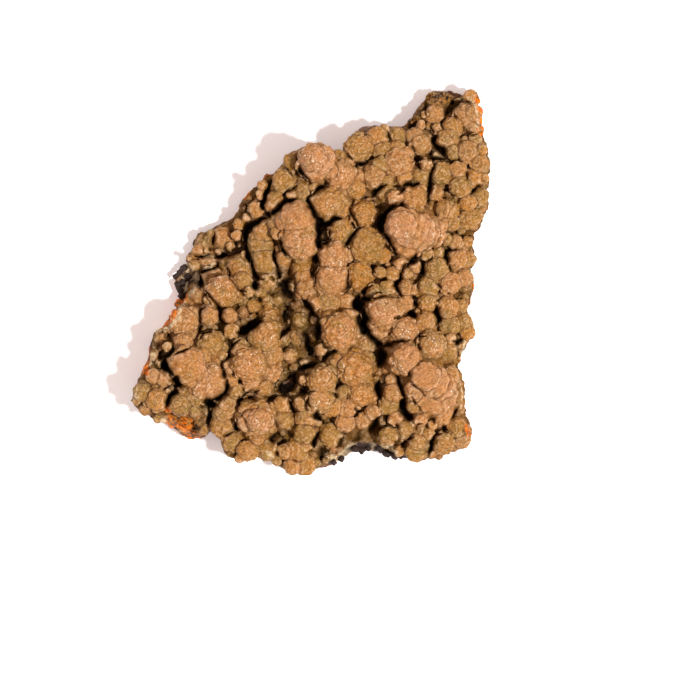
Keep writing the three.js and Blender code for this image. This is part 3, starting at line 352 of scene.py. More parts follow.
EASTERN_BEADS = (
    (7.5, 21.4, 2.2, PLAIN), (10.8, 23.0, 1.5, PLAIN), (14.0, 23.4, 1.6, PLAIN), (11.7, 21.0, 1.3, PLAIN),
    (14.2, 18.9, 1.8, PLAIN), (15.1, 16.8, 1.3, PLAIN), (10.4, 17.0, 1.5, PLAIN),
    (17.7, 22.1, 1.8, PLAIN), (20.0, 26.8, 1.5, PLAIN), (22.0, 28.9, 1.3, DEEP), (24.9, 26.8, 1.8, PLAIN),
    (22.9, 24.7, 1.3, PLAIN), (22.2, 22.6, 1.5, PLAIN), (25.5, 20.8, 1.5, PLAIN),
    (27.3, 18.9, 1.4, PLAIN), (21.1, 17.4, 1.9, PLAIN), (17.9, 16.9, 1.3, PLAIN),
    (26.6, 16.8, 1.3, PLAIN), (24.2, 15.2, 1.3, PLAIN), (12.2, 14.2, 1.5, PLAIN),
    (22.0, 11.4, 2.1, DEEP, Form.SCALY), (27.3, 13.6, 1.5, PLAIN), (25.2, 9.8, 1.2, PLAIN),
    (23.7, 3.5, 1.6, PLAIN), (20.3, 2.0, 1.9, PLAIN), (18.9, -1.1, 1.5, PLAIN), (22.4, -0.4, 1.5, PLAIN),
    (18.8, -3.4, 1.4, PLAIN), (14.5, 2.8, 1.2, PLAIN), (15.3, -1.1, 1.2, PLAIN), (10.2, -1.5, 1.2, PLAIN),
    (18.5, -6.6, 1.5, PLAIN), (22.1, -4.3, 1.3, PLAIN), (22.4, -7.0, 1.3, PLAIN),
    (24.9, -6.4, 1.3, PLAIN), (24.9, 0.6, 1.3, PLAIN), (13.4, -17.9, 1.5, PLAIN),
    (12.6, -20.0, 1.3, PLAIN), (16.6, -20.2, 1.3, PLAIN), (21.0, -21.4, 1.5, PLAIN),
    (17.7, -22.4, 1.4, PLAIN), (15.2, -23.7, 1.5, PLAIN), (23.7, -23.7, 1.5, PLAIN),
    (21.4, -26.0, 1.8, PLAIN), (17.3, -26.0, 1.4, PLAIN), (12.6, -25.0, 1.2, PLAIN),
    (14.0, 21.3, 1.1, PLAIN), (11.3, 18.7, 1.1, PLAIN), (12.6, 16.1, 0.8, PLAIN),
    (16.8, 23.4, 1.1, PLAIN), (17.7, 25.2, 1.1, PLAIN), (16.6, 25.4, 0.8, DEEP), (18.4, 26.9, 0.8, PLAIN),
    (20.2, 28.9, 1.3, DEEP), (23.4, 29.3, 0.8, DEEP), (20.5, 24.5, 0.8, PLAIN), (26.4, 27.3, 1.1, PLAIN),
    (25.8, 30.0, 1.0, PLAIN), (24.9, 23.9, 0.8, DEEP), (26.6, 22.9, 1.1, PLAIN), (23.2, 20.8, 1.0, PLAIN),
    (27.6, 21.1, 0.8, PLAIN), (23.7, 17.9, 1.1, PLAIN), (18.7, 18.9, 1.1, PLAIN),
    (28.2, 16.6, 0.8, PLAIN), (20.2, 14.2, 1.0, PLAIN), (21.0, 9.2, 1.1, PLAIN), (22.9, 9.2, 1.0, PLAIN),
    (25.4, 12.7, 1.1, PLAIN), (26.7, 10.5, 1.0, PLAIN), (23.4, 6.2, 1.0, PLAIN), (22.1, 6.7, 0.8, PLAIN),
    (16.9, 2.3, 0.8, PLAIN), (15.5, 1.2, 0.8, PLAIN), (16.8, 0.7, 0.7, DEEP), (16.8, -1.4, 0.8, PLAIN),
    (18.9, 4.3, 1.0, PLAIN), (20.7, 4.6, 0.8, PLAIN), (13.2, 1.2, 1.0, PLAIN), (11.7, 4.1, 1.0, PLAIN),
    (11.3, 1.4, 0.8, PLAIN), (16.1, 4.1, 0.7, DEEP), (12.4, -1.2, 1.1, PLAIN), (15.1, -3.6, 1.1, PLAIN),
    (20.2, -9.2, 1.1, PLAIN), (24.3, -4.0, 1.1, PLAIN), (25.3, -8.2, 1.2, PLAIN),
    (22.6, -9.3, 1.1, PLAIN), (25.4, 3.5, 1.1, PLAIN), (13.2, -16.0, 1.1, PLAIN),
    (11.1, -14.7, 0.8, DEEP), (23.8, -18.4, 0.8, PLAIN), (13.7, -22.1, 1.1, PLAIN),
    (12.8, -26.6, 1.0, PLAIN), (8.8, -26.0, 1.1, PLAIN), (10.6, -25.0, 0.8, PLAIN),
    (10.0, -21.1, 1.1, PLAIN), (8.5, -22.4, 1.0, PLAIN), (11.6, -22.4, 0.8, DEEP),
    (19.7, -23.2, 1.0, PLAIN), (24.5, -25.6, 1.1, PLAIN), (16.9, -27.6, 1.3, PLAIN),
)

# Where the two great rosettes are highest, and the overlapping plates that step down from
# each (x, y, radius, drop of the top)
GREAT_ROSETTE = (14.8, 8.7)
SOUTH_EASTERN_ROSETTE = (18.9, -15.5)
ROSETTE_PLATES = (
    (14.8, 8.8, 2.25, 0.0), (14.9, 8.7, 2.85, 0.75), (16.3, 8.3, 2.85, 1.35), (17.2, 8.0, 2.9, 2.1),
    (17.9, 7.8, 2.85, 2.9), (18.8, 7.6, 2.75, 3.8), (15.9, 7.5, 3.3, 3.0),
)
SOUTH_EASTERN_PLATES = (
    (18.7, -15.4, 2.3, 0.0), (19.9, -16.2, 2.5, 0.8), (20.7, -17.0, 2.5, 1.6), (21.2, -18.0, 2.4, 2.5),
    (19.6, -18.6, 2.4, 2.4),
)

# Knobs of the dark cluster at the broken edge (x, y, radius)
DARK_KNOBS = (
    (-20.5, 2.2, 0.62), (-21.1, 1.5, 0.55), (-21.8, 0.8, 0.55), (-19.8, 0.7, 0.66), (-20.7, -0.2, 0.66),
    (-21.5, -0.5, 0.6), (-19.2, -0.4, 0.6), (-21.1, -1.4, 0.6), (-19.3, -1.5, 0.62), (-20.9, -2.3, 0.6),
    (-20.0, -2.0, 0.5), (7.2, -27.0, 0.7), (8.3, -27.3, 0.7), (9.4, -27.0, 0.5), (11.4, -27.1, 0.7),
    (12.3, -27.8, 0.75), (13.6, -28.2, 0.7), (14.6, -28.3, 0.5), (2.7, -29.0, 0.6), (3.7, -29.2, 0.6),
    (5.0, -28.7, 0.6), (16.4, -28.5, 0.6),
)

# Rough, pitted matter where the crust is broken (x, y, reach, strength)
ROUGH_SPOTS = (
    (22.3, 30.2, 1.9, 1.3), (20.2, 29.8, 1.2, 1.0), (-7.0, 17.0, 0.9, 1.1), (-10.2, 14.3, 1.2, 1.1),
    (8.4, 24.8, 1.1, 1.1), (16.4, 25.6, 1.1, 1.1), (-21.6, -23.6, 2.4, 1.3), (-18.8, -24.2, 1.6, 1.0),
    (4.5, -28.8, 2.0, 1.0), (12.4, -27.9, 1.6, 0.9), (-17.6, 7.6, 1.0, 0.8), (-23.6, -6.6, 1.3, 1.0),
    (-21.4, -3.8, 1.0, 1.0), (25.2, -24.0, 0.8, 0.8),
)

# Colours on the rock (x, y, reach, strength)
ORANGE_SPOTS = (
    (-22.0, -4.3, 1.8, 1.2), (-23.5, -7.0, 2.0, 1.0), (-26.4, -12.0, 3.0, 0.8), (-21.5, -24.4, 3.4, 0.75),
    (28.0, 27.0, 2.2, 1.1), (-21.0, -0.6, 1.6, 0.55), (26.5, -1.0, 1.0, 1.0), (26.0, -24.0, 2.5, 0.7),
    (-10.0, 15.0, 3.0, 0.5),
)
BLACK_SPOTS = (
    (8.0, -28.6, 4.0, 0.8), (16.2, -29.4, 2.5, 1.0), (12.0, -28.5, 2.0, 0.8),
)
CREAM_SPOTS = (
    (-19.6, 0.3, 2.6, 1.0), (-24.6, -6.0, 1.6, 0.8), (5.6, -27.6, 3.0, 1.2), (10.5, -27.8, 2.5, 0.9),
    (-24.0, -22.6, 1.6, 0.6),
)

# The clusters that the crust has grown from, by a name and a middle
CLUSTERS = {
    "south_west": (-18.4, -13.7), "south": (-6.5, -19.9), "middle": (6.8, -10.8), "west": (-4.9, 3.5),
    "north": (5.2, 15.5), "north_east": (23.0, 18.3), "east": (19.3, 3.4), "south_east": (20.5, -17.9),
}

# How square a bead's dome is, and how far the rounded edge of a crevice reaches
DOME_POWER = 2.5
SHOULDER = 1.0

# The middle that the rim is measured from, and the side where the crust curls over the rock
CORE = (3.0, 0.0)
CURL_BEARING = -0.1
CURL_START, CURL_FULL = 0.35, 0.85

# Farther than any place of the specimen, and how near doubles lie
FAR = 1e9
MERGE = 0.01


def bells(places: tuple, x: np.ndarray, y: np.ndarray) -> np.ndarray:
    """Sum the smooth bells of a list of places.

    Args:
        places: rows of x, y, reach and depth, in millimetres.
        x: points along X.
        y: points along Y.

    Returns:
        The summed depth at each point.
    """
    total = np.zeros(np.shape(x))
    for px, py, reach, depth in places:
        total = total + depth * np.exp(-((x - px) ** 2 + (y - py) ** 2) / reach**2)
    return total


def crest(x: np.ndarray, y: np.ndarray) -> np.ndarray:
    """Height of the ordinary crests, in millimetres."""
    return CREST - bells(SINKS, x, y)


def rock_top(x: np.ndarray, y: np.ndarray) -> np.ndarray:
    """Height of the rock under the crust, in millimetres."""
    return np.maximum(THIN_ROCK, crest(x, y) - ROCK_DEPTH)


def crust_floor(x: np.ndarray, y: np.ndarray) -> np.ndarray:
    """Height of the crevices' floor, in millimetres."""
    return np.maximum(rock_top(x, y) + THIN_CRUST, crest(x, y) - CRUST_DEPTH)


def curled(x: np.ndarray, y: np.ndarray) -> np.ndarray:
    """How much a place belongs to the side where the crust curls down, from 0 to 1."""
    facing = np.cos(np.arctan2(y - CORE[1], x - CORE[0]) - CURL_BEARING)
    share = np.clip((facing - CURL_START) / (CURL_FULL - CURL_START), 0, 1)
    return share * share * (3 - 2 * share)


def within(x: np.ndarray, y: np.ndarray) -> np.ndarray:
    """Tell which points lie inside the outline, by counting crossings."""
    inside = np.zeros(np.shape(x), bool)
    for (ax, ay), (bx, by) in zip(OUTLINE, OUTLINE[1:] + OUTLINE[:1]):
        if ay == by:
            continue
        crosses = (y >= min(ay, by)) & (y < max(ay, by))
        inside ^= crosses & (x < ax + (y - ay) / (by - ay) * (bx - ax))
    return inside


def edge_distance(x: np.ndarray, y: np.ndarray) -> np.ndarray:
    """Distance from each point to the outline, in millimetres."""
    nearest = np.full(np.shape(x), FAR)
    for (ax, ay), (bx, by) in zip(OUTLINE, OUTLINE[1:] + OUTLINE[:1]):
        dx, dy = bx - ax, by - ay
        share = np.clip(((x - ax) * dx + (y - ay) * dy) / (dx * dx + dy * dy), 0, 1)
        nearest = np.minimum(nearest, np.hypot(x - ax - share * dx, y - ay - share * dy))
    return nearest


def along_line(points: tuple, x: np.ndarray, y: np.ndarray) -> tuple:
    """Measure places against a line of several points.

    Args:
        points: the line's points, in millimetres.
        x: places along X.
        y: places along Y.

    Returns:
        Each place's distance to the line, and how far its foot lies from the line's nearer end.
    """
    lengths = [math.dist(a, b) for a, b in zip(points, points[1:])]
    nearest, foot = np.full(np.shape(x), FAR), np.zeros(np.shape(x))
    done = 0.0
    for (ax, ay), (bx, by), length in zip(points, points[1:], lengths):
        dx, dy = bx - ax, by - ay
        share = np.clip(((x - ax) * dx + (y - ay) * dy) / length**2, 0, 1)
        away = np.hypot(x - ax - share * dx, y - ay - share * dy)
        foot = np.where(away < nearest, done + share * length, foot)
        nearest = np.minimum(nearest, away)
        done += length
    return nearest, np.minimum(foot, done - foot)


def crevice_room(x: np.ndarray, y: np.ndarray) -> np.ndarray:
    """Distance from each place to the edge of the nearest crevice, in millimetres."""
    room = np.full(np.shape(x), FAR)
    for width, *line in CREVICES:
        room = np.minimum(room, along_line(line, x, y)[0] - 0.5 * width)
    return room


def crevice_depth(points: np.ndarray, grain: "Grain") -> np.ndarray:
    """How deep the narrow crevices are cut.

    Args:
        points: places, in millimetres.
        grain: unevenness that makes the crevices wander.

    Returns:
        The cut at each place, in millimetres.
    """
    flat = points * (1, 1, 0)
    x = points[:, 0] + 0.22 * grain.layered(flat, 1.2, 2)
    y = points[:, 1] + 0.22 * grain.layered(flat + 17, 1.2, 2)
    wander = 0.92 + 0.4 * grain.at(flat + 5, 1.1)
    deepest = np.zeros(len(points))
    for width, *line in CREVICES:
        reach = 2 * width + SHOULDER
        low, high = np.min(line, axis=0) - reach, np.max(line, axis=0) + reach
        near = (x > low[0]) & (x < high[0]) & (y > low[1]) & (y < high[1])
        away, end = along_line(line, x[near], y[near])
        long = sum(math.dist(a, b) for a, b in zip(line, line[1:])) > 1
        taper = 0.45 + 0.55 * np.clip(end / 0.8, 0, 1) if long else 0.9
        half = 0.88 * width * taper * wander[near]
        slot = (0.4 + 4.2 * half) * np.exp(-((away / half) ** 1.8))
        bulge = np.clip(1 - (away - half) / SHOULDER, 0, 1)
        rounding = SHOULDER * (1 - np.sqrt(1 - 0.96 * bulge * bulge)) * np.clip(half / 0.3, 0.3, 1)
        deepest[near] = np.maximum(deepest[near], slot + 0.5 * rounding)
    return deepest


def painted(lines: tuple, points: np.ndarray, grain: "Grain") -> np.ndarray:
    """How strongly the colour of some lines shows at places.

    Args:
        lines: half a width and the points of each line, in millimetres.
        points: places, in millimetres.
        grain: unevenness of the colour's edge.

    Returns:
        A value from 0 to 1 for each place.
    """
    strength = np.zeros(len(points))
    ragged = 0.75 + 0.8 * grain.layered(points, 0.9, 3)
    for width, *line in lines:
        away, _ = along_line(line, points[:, 0], points[:, 1])
        strength = np.maximum(strength, np.clip(2.2 * (ragged + 0.3 - away / width), 0, 1))
    return strength


class Grain:
    """Smooth random unevenness in space, the same on each run."""

    SIDE = 64

    def __init__(self, seed: int) -> None:
        """Fill the lattice from a seed."""
        self.lattice = np.random.default_rng(seed).uniform(-1, 1, (self.SIDE,) * 3)

    def at(self, points: np.ndarray, size: float) -> np.ndarray:
        """Read the unevenness.

        Args:
            points: an array of n points, in millimetres.
            size: distance between two lattice points, in millimetres.

        Returns:
            A value from -1 to 1 for each point.
        """
        scaled = points / size
        low = np.floor(scaled).astype(int)
        share = scaled - low
        share = share * share * (3 - 2 * share)
        total = np.zeros(len(points))
        for corner in range(8):
            step = np.array([corner & 1, corner >> 1 & 1, corner >> 2 & 1])
            weight = np.prod(np.where(step, share, 1 - share), axis=1)
            cell = (low + step) % self.SIDE
            total += weight * self.lattice[cell[:, 0], cell[:, 1], cell[:, 2]]
        return total

    def cells(self, points: np.ndarray, size: float) -> tuple:
        """Measure places against scattered middles, one in each cube of a size.

        Args:
            points: an array of n points, in millimetres.
            size: side of the cubes, in millimetres.

        Returns:
            The distance to the nearest middle and how much farther the next one is, as shares of
            the size.
        """
        scaled = points / size
        low = np.floor(scaled).astype(int)
        nearest, following = np.full(len(points), 9.0), np.full(len(points), 9.0)
        for step in np.ndindex(3, 3, 3):
            cell = low + np.array(step) - 1
            x, y, z = (cell % self.SIDE).T
            middle = np.stack([self.lattice[x, y, z], self.lattice[y, z, x], self.lattice[z, x, y]], 1)
            away = cell + 0.5 + 0.42 * middle - scaled
            away = np.einsum("ij,ij->i", away, away)
            following = np.minimum(following, np.maximum(nearest, away))
            nearest = np.minimum(nearest, away)
        return np.sqrt(nearest), np.sqrt(following) - np.sqrt(nearest)

    def layered(self, points: np.ndarray, size: float, layers: int) -> np.ndarray:
        """Sum finer and weaker layers of the unevenness."""
        return sum(self.at(points + 7.3 * k, size / 2**k) / 2**k for k in range(layers))


def clear_selection() -> None:
    """Deselect every object, so that an operator acts on what is chosen alone."""
    for thing in bpy.context.view_layer.objects:
        thing.select_set(False)


def choose(*things: bpy.types.Object) -> None:
    """Select these objects alone and make the first the active one."""
    clear_selection()
    for thing in things:
        thing.select_set(True)
    bpy.context.view_layer.objects.active = things[0]


def join(things: list, name: str) -> bpy.types.Object:
    """Join objects into the first of them.

    Args:
        things: the objects.
        name: the joined object's name.

    Returns:
        The joined object, with its place in its mesh.
    """
    choose(*things)
    bpy.ops.object.join()
    whole = bpy.context.view_layer.objects.active
    bpy.ops.object.transform_apply(location=True, rotation=True, scale=True)
    whole.name = whole.data.name = name
    return whole


def solid_copy(node: str, name: str) -> bpy.types.Object:
    """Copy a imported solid's mesh, in millimetres and with its doubles merged.

    Args:
        node: the solid's name.
        name: the copy's name.

    Returns:
        The copy.
    """
    thing = bpy.data.objects.new(name, frame["nodes"][node].data.copy())
    bpy.context.scene.collection.objects.link(thing)
    thing.data.transform(Matrix.Scale(1 / MM, 4))
    choose(thing)
    bpy.ops.object.mode_set(mode="EDIT")
    bpy.ops.mesh.select_all(action="SELECT")
    bpy.ops.mesh.remove_doubles(threshold=MERGE)
    bpy.ops.object.mode_set(mode="OBJECT")
    return thing


def finish_with(thing: bpy.types.Object, kind: str, **settings: object) -> None:
    """Add a modifier, set it and apply it.

    Args:
        thing: the object.
        kind: the modifier's type.
        settings: the modifier's values by name.
    """
    choose(thing)
    modifier = thing.modifiers.new(kind.title(), kind)
    for key, value in settings.items():
        setattr(modifier, key, value)
    bpy.ops.object.modifier_apply(modifier=modifier.name)


def read_points(thing: bpy.types.Object) -> np.ndarray:
    """The object's vertices as an array."""
    points = np.empty(len(thing.data.vertices) * 3)
    thing.data.vertices.foreach_get("co", points)
    return points.reshape(-1, 3)


def write_points(thing: bpy.types.Object, points: np.ndarray) -> None:
    """Set the object's vertices from an array."""
    thing.data.vertices.foreach_set("co", np.ascontiguousarray(points, np.float32).ravel())
    thing.data.update()


def read_normals(thing: bpy.types.Object) -> np.ndarray:
    """The object's vertex normals as an array."""
    normals = np.empty(len(thing.data.vertices) * 3)
    thing.data.vertex_normals.foreach_get("vector", normals)
    return normals.reshape(-1, 3)


def write_values(thing: bpy.types.Object, name: str, values: np.ndarray) -> None:
    """Keep a number for each vertex under a name that the finish reads."""
    attribute = thing.data.attributes.new(name, "FLOAT", "POINT")
    attribute.data.foreach_set("value", np.ascontiguousarray(values, np.float32))


def read_bend(thing: bpy.types.Object, reach: int) -> np.ndarray:
    """Measure how the surface bends.

    Args:
        thing: the object.
        reach: how many neighbours away the surface is compared with.

    Returns:
        How deep each vertex lies under its surroundings, in the mesh's unit: below 0 on a ridge.
    """
    mesh = thing.data
    pairs = np.empty(len(mesh.edges) * 2, int)
    mesh.edges.foreach_get("vertices", pairs)
    ends = np.concatenate([pairs[0::2], pairs[1::2]])
    others = np.concatenate([pairs[1::2], pairs[0::2]])
    count = np.maximum(np.bincount(ends, minlength=len(mesh.vertices)), 1)
    points = read_points(thing)
    smooth = points
    for _ in range(reach):
        sums = [np.bincount(ends, axis[others], len(points)) for axis in smooth.T]
        smooth = np.stack(sums, 1) / count[:, None]
    return np.sum((smooth - points) * read_normals(thing), 1)


@dataclass(frozen=True)
class Bead:
    """One bead of the crust, in millimetres."""

    x: float
    y: float
    z: float
    radius: float
    form: Form
    tint: float
    flat: float = 1.0


def rounded(across: np.ndarray, up: np.ndarray) -> np.ndarray:
    """Size of the dome through a place: flat on top and steep at the sides, 1 on the unit dome."""
    return (np.abs(across) ** DOME_POWER + np.abs(up) ** DOME_POWER) ** (1 / DOME_POWER)


class BeadForms:
    """The beads' forms, each modelled once at a radius of 1 and copied to its places."""

    VARIANTS = 3

    def __init__(self) -> None:
        """Model every form in a few variants."""
        self.chance = random.Random(11)
        makers = {
            Form.ROUND: self.round, Form.SCALY: self.scaly, Form.STEPPED: self.stepped,
            Form.PLATE: self.plate,
        }
        self.models = {form: [make() for _ in range(self.VARIANTS)] for form, make in makers.items()}
        self.crumb = self.ball_mesh(2)

    def ball(self, where: tuple, size: tuple, fineness: int) -> None:
        """Add a ball to the mesh in edit mode."""
        bpy.ops.mesh.primitive_ico_sphere_add(
            subdivisions=fineness, radius=1, location=where, scale=size
        )

    def start(self, fineness: int) -> None:
        """Begin a form from a dome of radius 1 and enter edit mode."""
        clear_selection()
        bpy.ops.mesh.primitive_ico_sphere_add(subdivisions=fineness, radius=1)
        model = bpy.context.view_layer.objects.active
        points = read_points(model)
        size = rounded(np.hypot(points[:, 0], points[:, 1]), points[:, 2])
        write_points(model, points / size[:, None])
        bpy.ops.object.mode_set(mode="EDIT")

    def finish(self) -> bpy.types.Mesh:
        """Leave edit mode and keep the mesh alone."""
        bpy.ops.object.mode_set(mode="OBJECT")
        model = bpy.context.view_layer.objects.active
        mesh = model.data
        bpy.data.objects.remove(model)
        return mesh

    def ball_mesh(self, fineness: int) -> bpy.types.Mesh:
        """A plain ball for the smallest crumbs."""
        self.start(fineness)
        return self.finish()

    def lobe(self, tilt: float, turn: float, size: float, proud: float) -> None:
        """Add a round lobe on the unit ball.

        Args:
            tilt: angle from the top.
            turn: angle round the upright axis.
            size: the lobe's radius.
            proud: how far it stands out of the ball.
        """
        reach = 1 / float(rounded(math.sin(tilt), math.cos(tilt))) + proud - size
        where = Vector((math.sin(tilt) * math.cos(turn), math.sin(tilt) * math.sin(turn), math.cos(tilt)))
        self.ball(tuple(where * reach), (size, size, size), 3)

    def scale_plate(self, tilt: float, turn: float, size: float) -> None:
        """Add a thin round scale on the unit ball, its lower edge standing out.

        Args:
            tilt: angle from the top.
            turn: angle round the upright axis.
            size: the scale's radius.
        """
        leaning = max(tilt - self.chance.uniform(0.1, 0.3), 0)
        where = Vector((math.sin(tilt) * math.cos(turn), math.sin(tilt) * math.sin(turn), math.cos(tilt)))
        reach = 1 / float(rounded(math.sin(tilt), math.cos(tilt))) - 0.03
        bpy.ops.mesh.primitive_ico_sphere_add(
            subdivisions=3, radius=1, location=tuple(where * reach), rotation=(0, leaning, turn),
            scale=(size, size, 0.17),
        )

    def round(self) -> bpy.types.Mesh:
        """A round bead with a few broad, low lobes."""
        self.start(4)
        for k in range(7):
            turn = TURN * k / 7 + self.chance.uniform(-0.4, 0.4)
            tilt = self.chance.uniform(0.5, 1.5)
            self.lobe(tilt, turn, self.chance.uniform(0.4, 0.6), self.chance.uniform(0.05, 0.15))
        return self.finish()

    def scaly(self) -> bpy.types.Mesh:
        """A head covered all over in overlapping scales."""
        self.start(4)
        count = 22
        for k in range(count):
            tilt = math.acos(1 - 1.25 * (k + 0.5) / count)
            turn = 2.4 * k + self.chance.uniform(-0.3, 0.3)
            self.scale_plate(tilt, turn, self.chance.uniform(0.3, 0.46))
        for k in range(8):
            turn = TURN * k / 8 + self.chance.uniform(-0.3, 0.3)
            self.lobe(self.chance.uniform(0.7, 1.6), turn, self.chance.uniform(0.32, 0.5), 0.1)
        return self.finish()

    def stepped(self) -> bpy.types.Mesh:
        """A head of stacked discs with scalloped edges, each set a little aside."""
        self.start(4)
        drift = self.chance.uniform(0, TURN)
        steps = ((1.05, 0.3), (0.98, 0.6), (0.8, 0.88), (0.54, 1.05), (0.28, 1.14))
        for level, (reach, height) in enumerate(steps):
            aside = 0.05 * level
            middle = (aside * math.cos(drift), aside * math.sin(drift))
            self.ball((*middle, height - 0.12), (reach, reach, 0.13), 4)
            scallops = round(5 + 8 * reach)
            for k in range(scallops):
                turn = TURN * k / scallops + self.chance.uniform(-0.15, 0.15)
                size = self.chance.uniform(0.16, 0.28) * (0.4 + 0.6 * reach)
                out = reach - 0.55 * size
                place = (middle[0] + out * math.cos(turn), middle[1] + out * math.sin(turn), height - 0.12)
                self.ball(place, (size, size, 0.12), 2)
        return self.finish()

    def plate(self) -> bpy.types.Mesh:
        """A flat, broad plate with a scalloped edge."""
        self.start(2)
        bpy.ops.mesh.select_all(action="SELECT")
        bpy.ops.transform.resize(value=(0.8, 0.8, 0.3), center_override=(0, 0, 0))
        self.ball((0, 0, 0.62), (1, 1, 0.34), 4)
        for k in range(9):
            turn = TURN * k / 9 + self.chance.uniform(-0.15, 0.15)
            size = self.chance.uniform(0.28, 0.42)
            place = ((1.03 - 0.8 * size) * math.cos(turn), (1.03 - 0.8 * size) * math.sin(turn), 0.62)
            self.ball(place, (size, size, 0.3), 3)
        return self.finish()

    def place(self, bead: Bead) -> bpy.types.Object:
        """Copy a form to a bead's place.

        Args:
            bead: the bead.

        Returns:
            The copy, an object of its own.
        """
        mesh = self.chance.choice(self.models[bead.form]).copy() if bead.radius > 0.75 else self.crumb.copy()
        copy = bpy.data.objects.new("bead", mesh)
        bpy.context.scene.collection.objects.link(copy)
        lean = Matrix.Rotation(self.chance.uniform(-0.25, 0.25), 4, "X")
        turn = Matrix.Rotation(self.chance.uniform(0, TURN), 4, "Z")
        wide = bead.radius * self.chance.uniform(0.92, 1.08)
        squash = Matrix.Diagonal((bead.radius, wide, bead.radius * bead.flat, 1))
        copy.matrix_world = Matrix.Translation((bead.x, bead.y, bead.z)) @ lean @ turn @ squash
        return copy

    def stem(self, bead: Bead, foot: float) -> bpy.types.Object:
        """A stem that carries a bead from the floor.

        Args:
            bead: the bead.
            foot: height of the stem's lower end.

        Returns:
            The stem, an object of its own.
        """
        copy = bpy.data.objects.new("stem", self.crumb.copy())
        bpy.context.scene.collection.objects.link(copy)
        half = max(bead.radius * 0.8, (bead.z - foot) / 2 + 0.2 * bead.radius)
        wide = 0.8 * bead.radius
        copy.matrix_world = Matrix.Translation((bead.x, bead.y, foot + half)) @ Matrix.Diagonal(
            (wide, wide, half, 1)
        )
        return copy

    def clear(self) -> None:
        """Remove the models once all copies are placed."""
        for mesh in [m for models in self.models.values() for m in models] + [self.crumb]:
            bpy.data.meshes.remove(mesh)


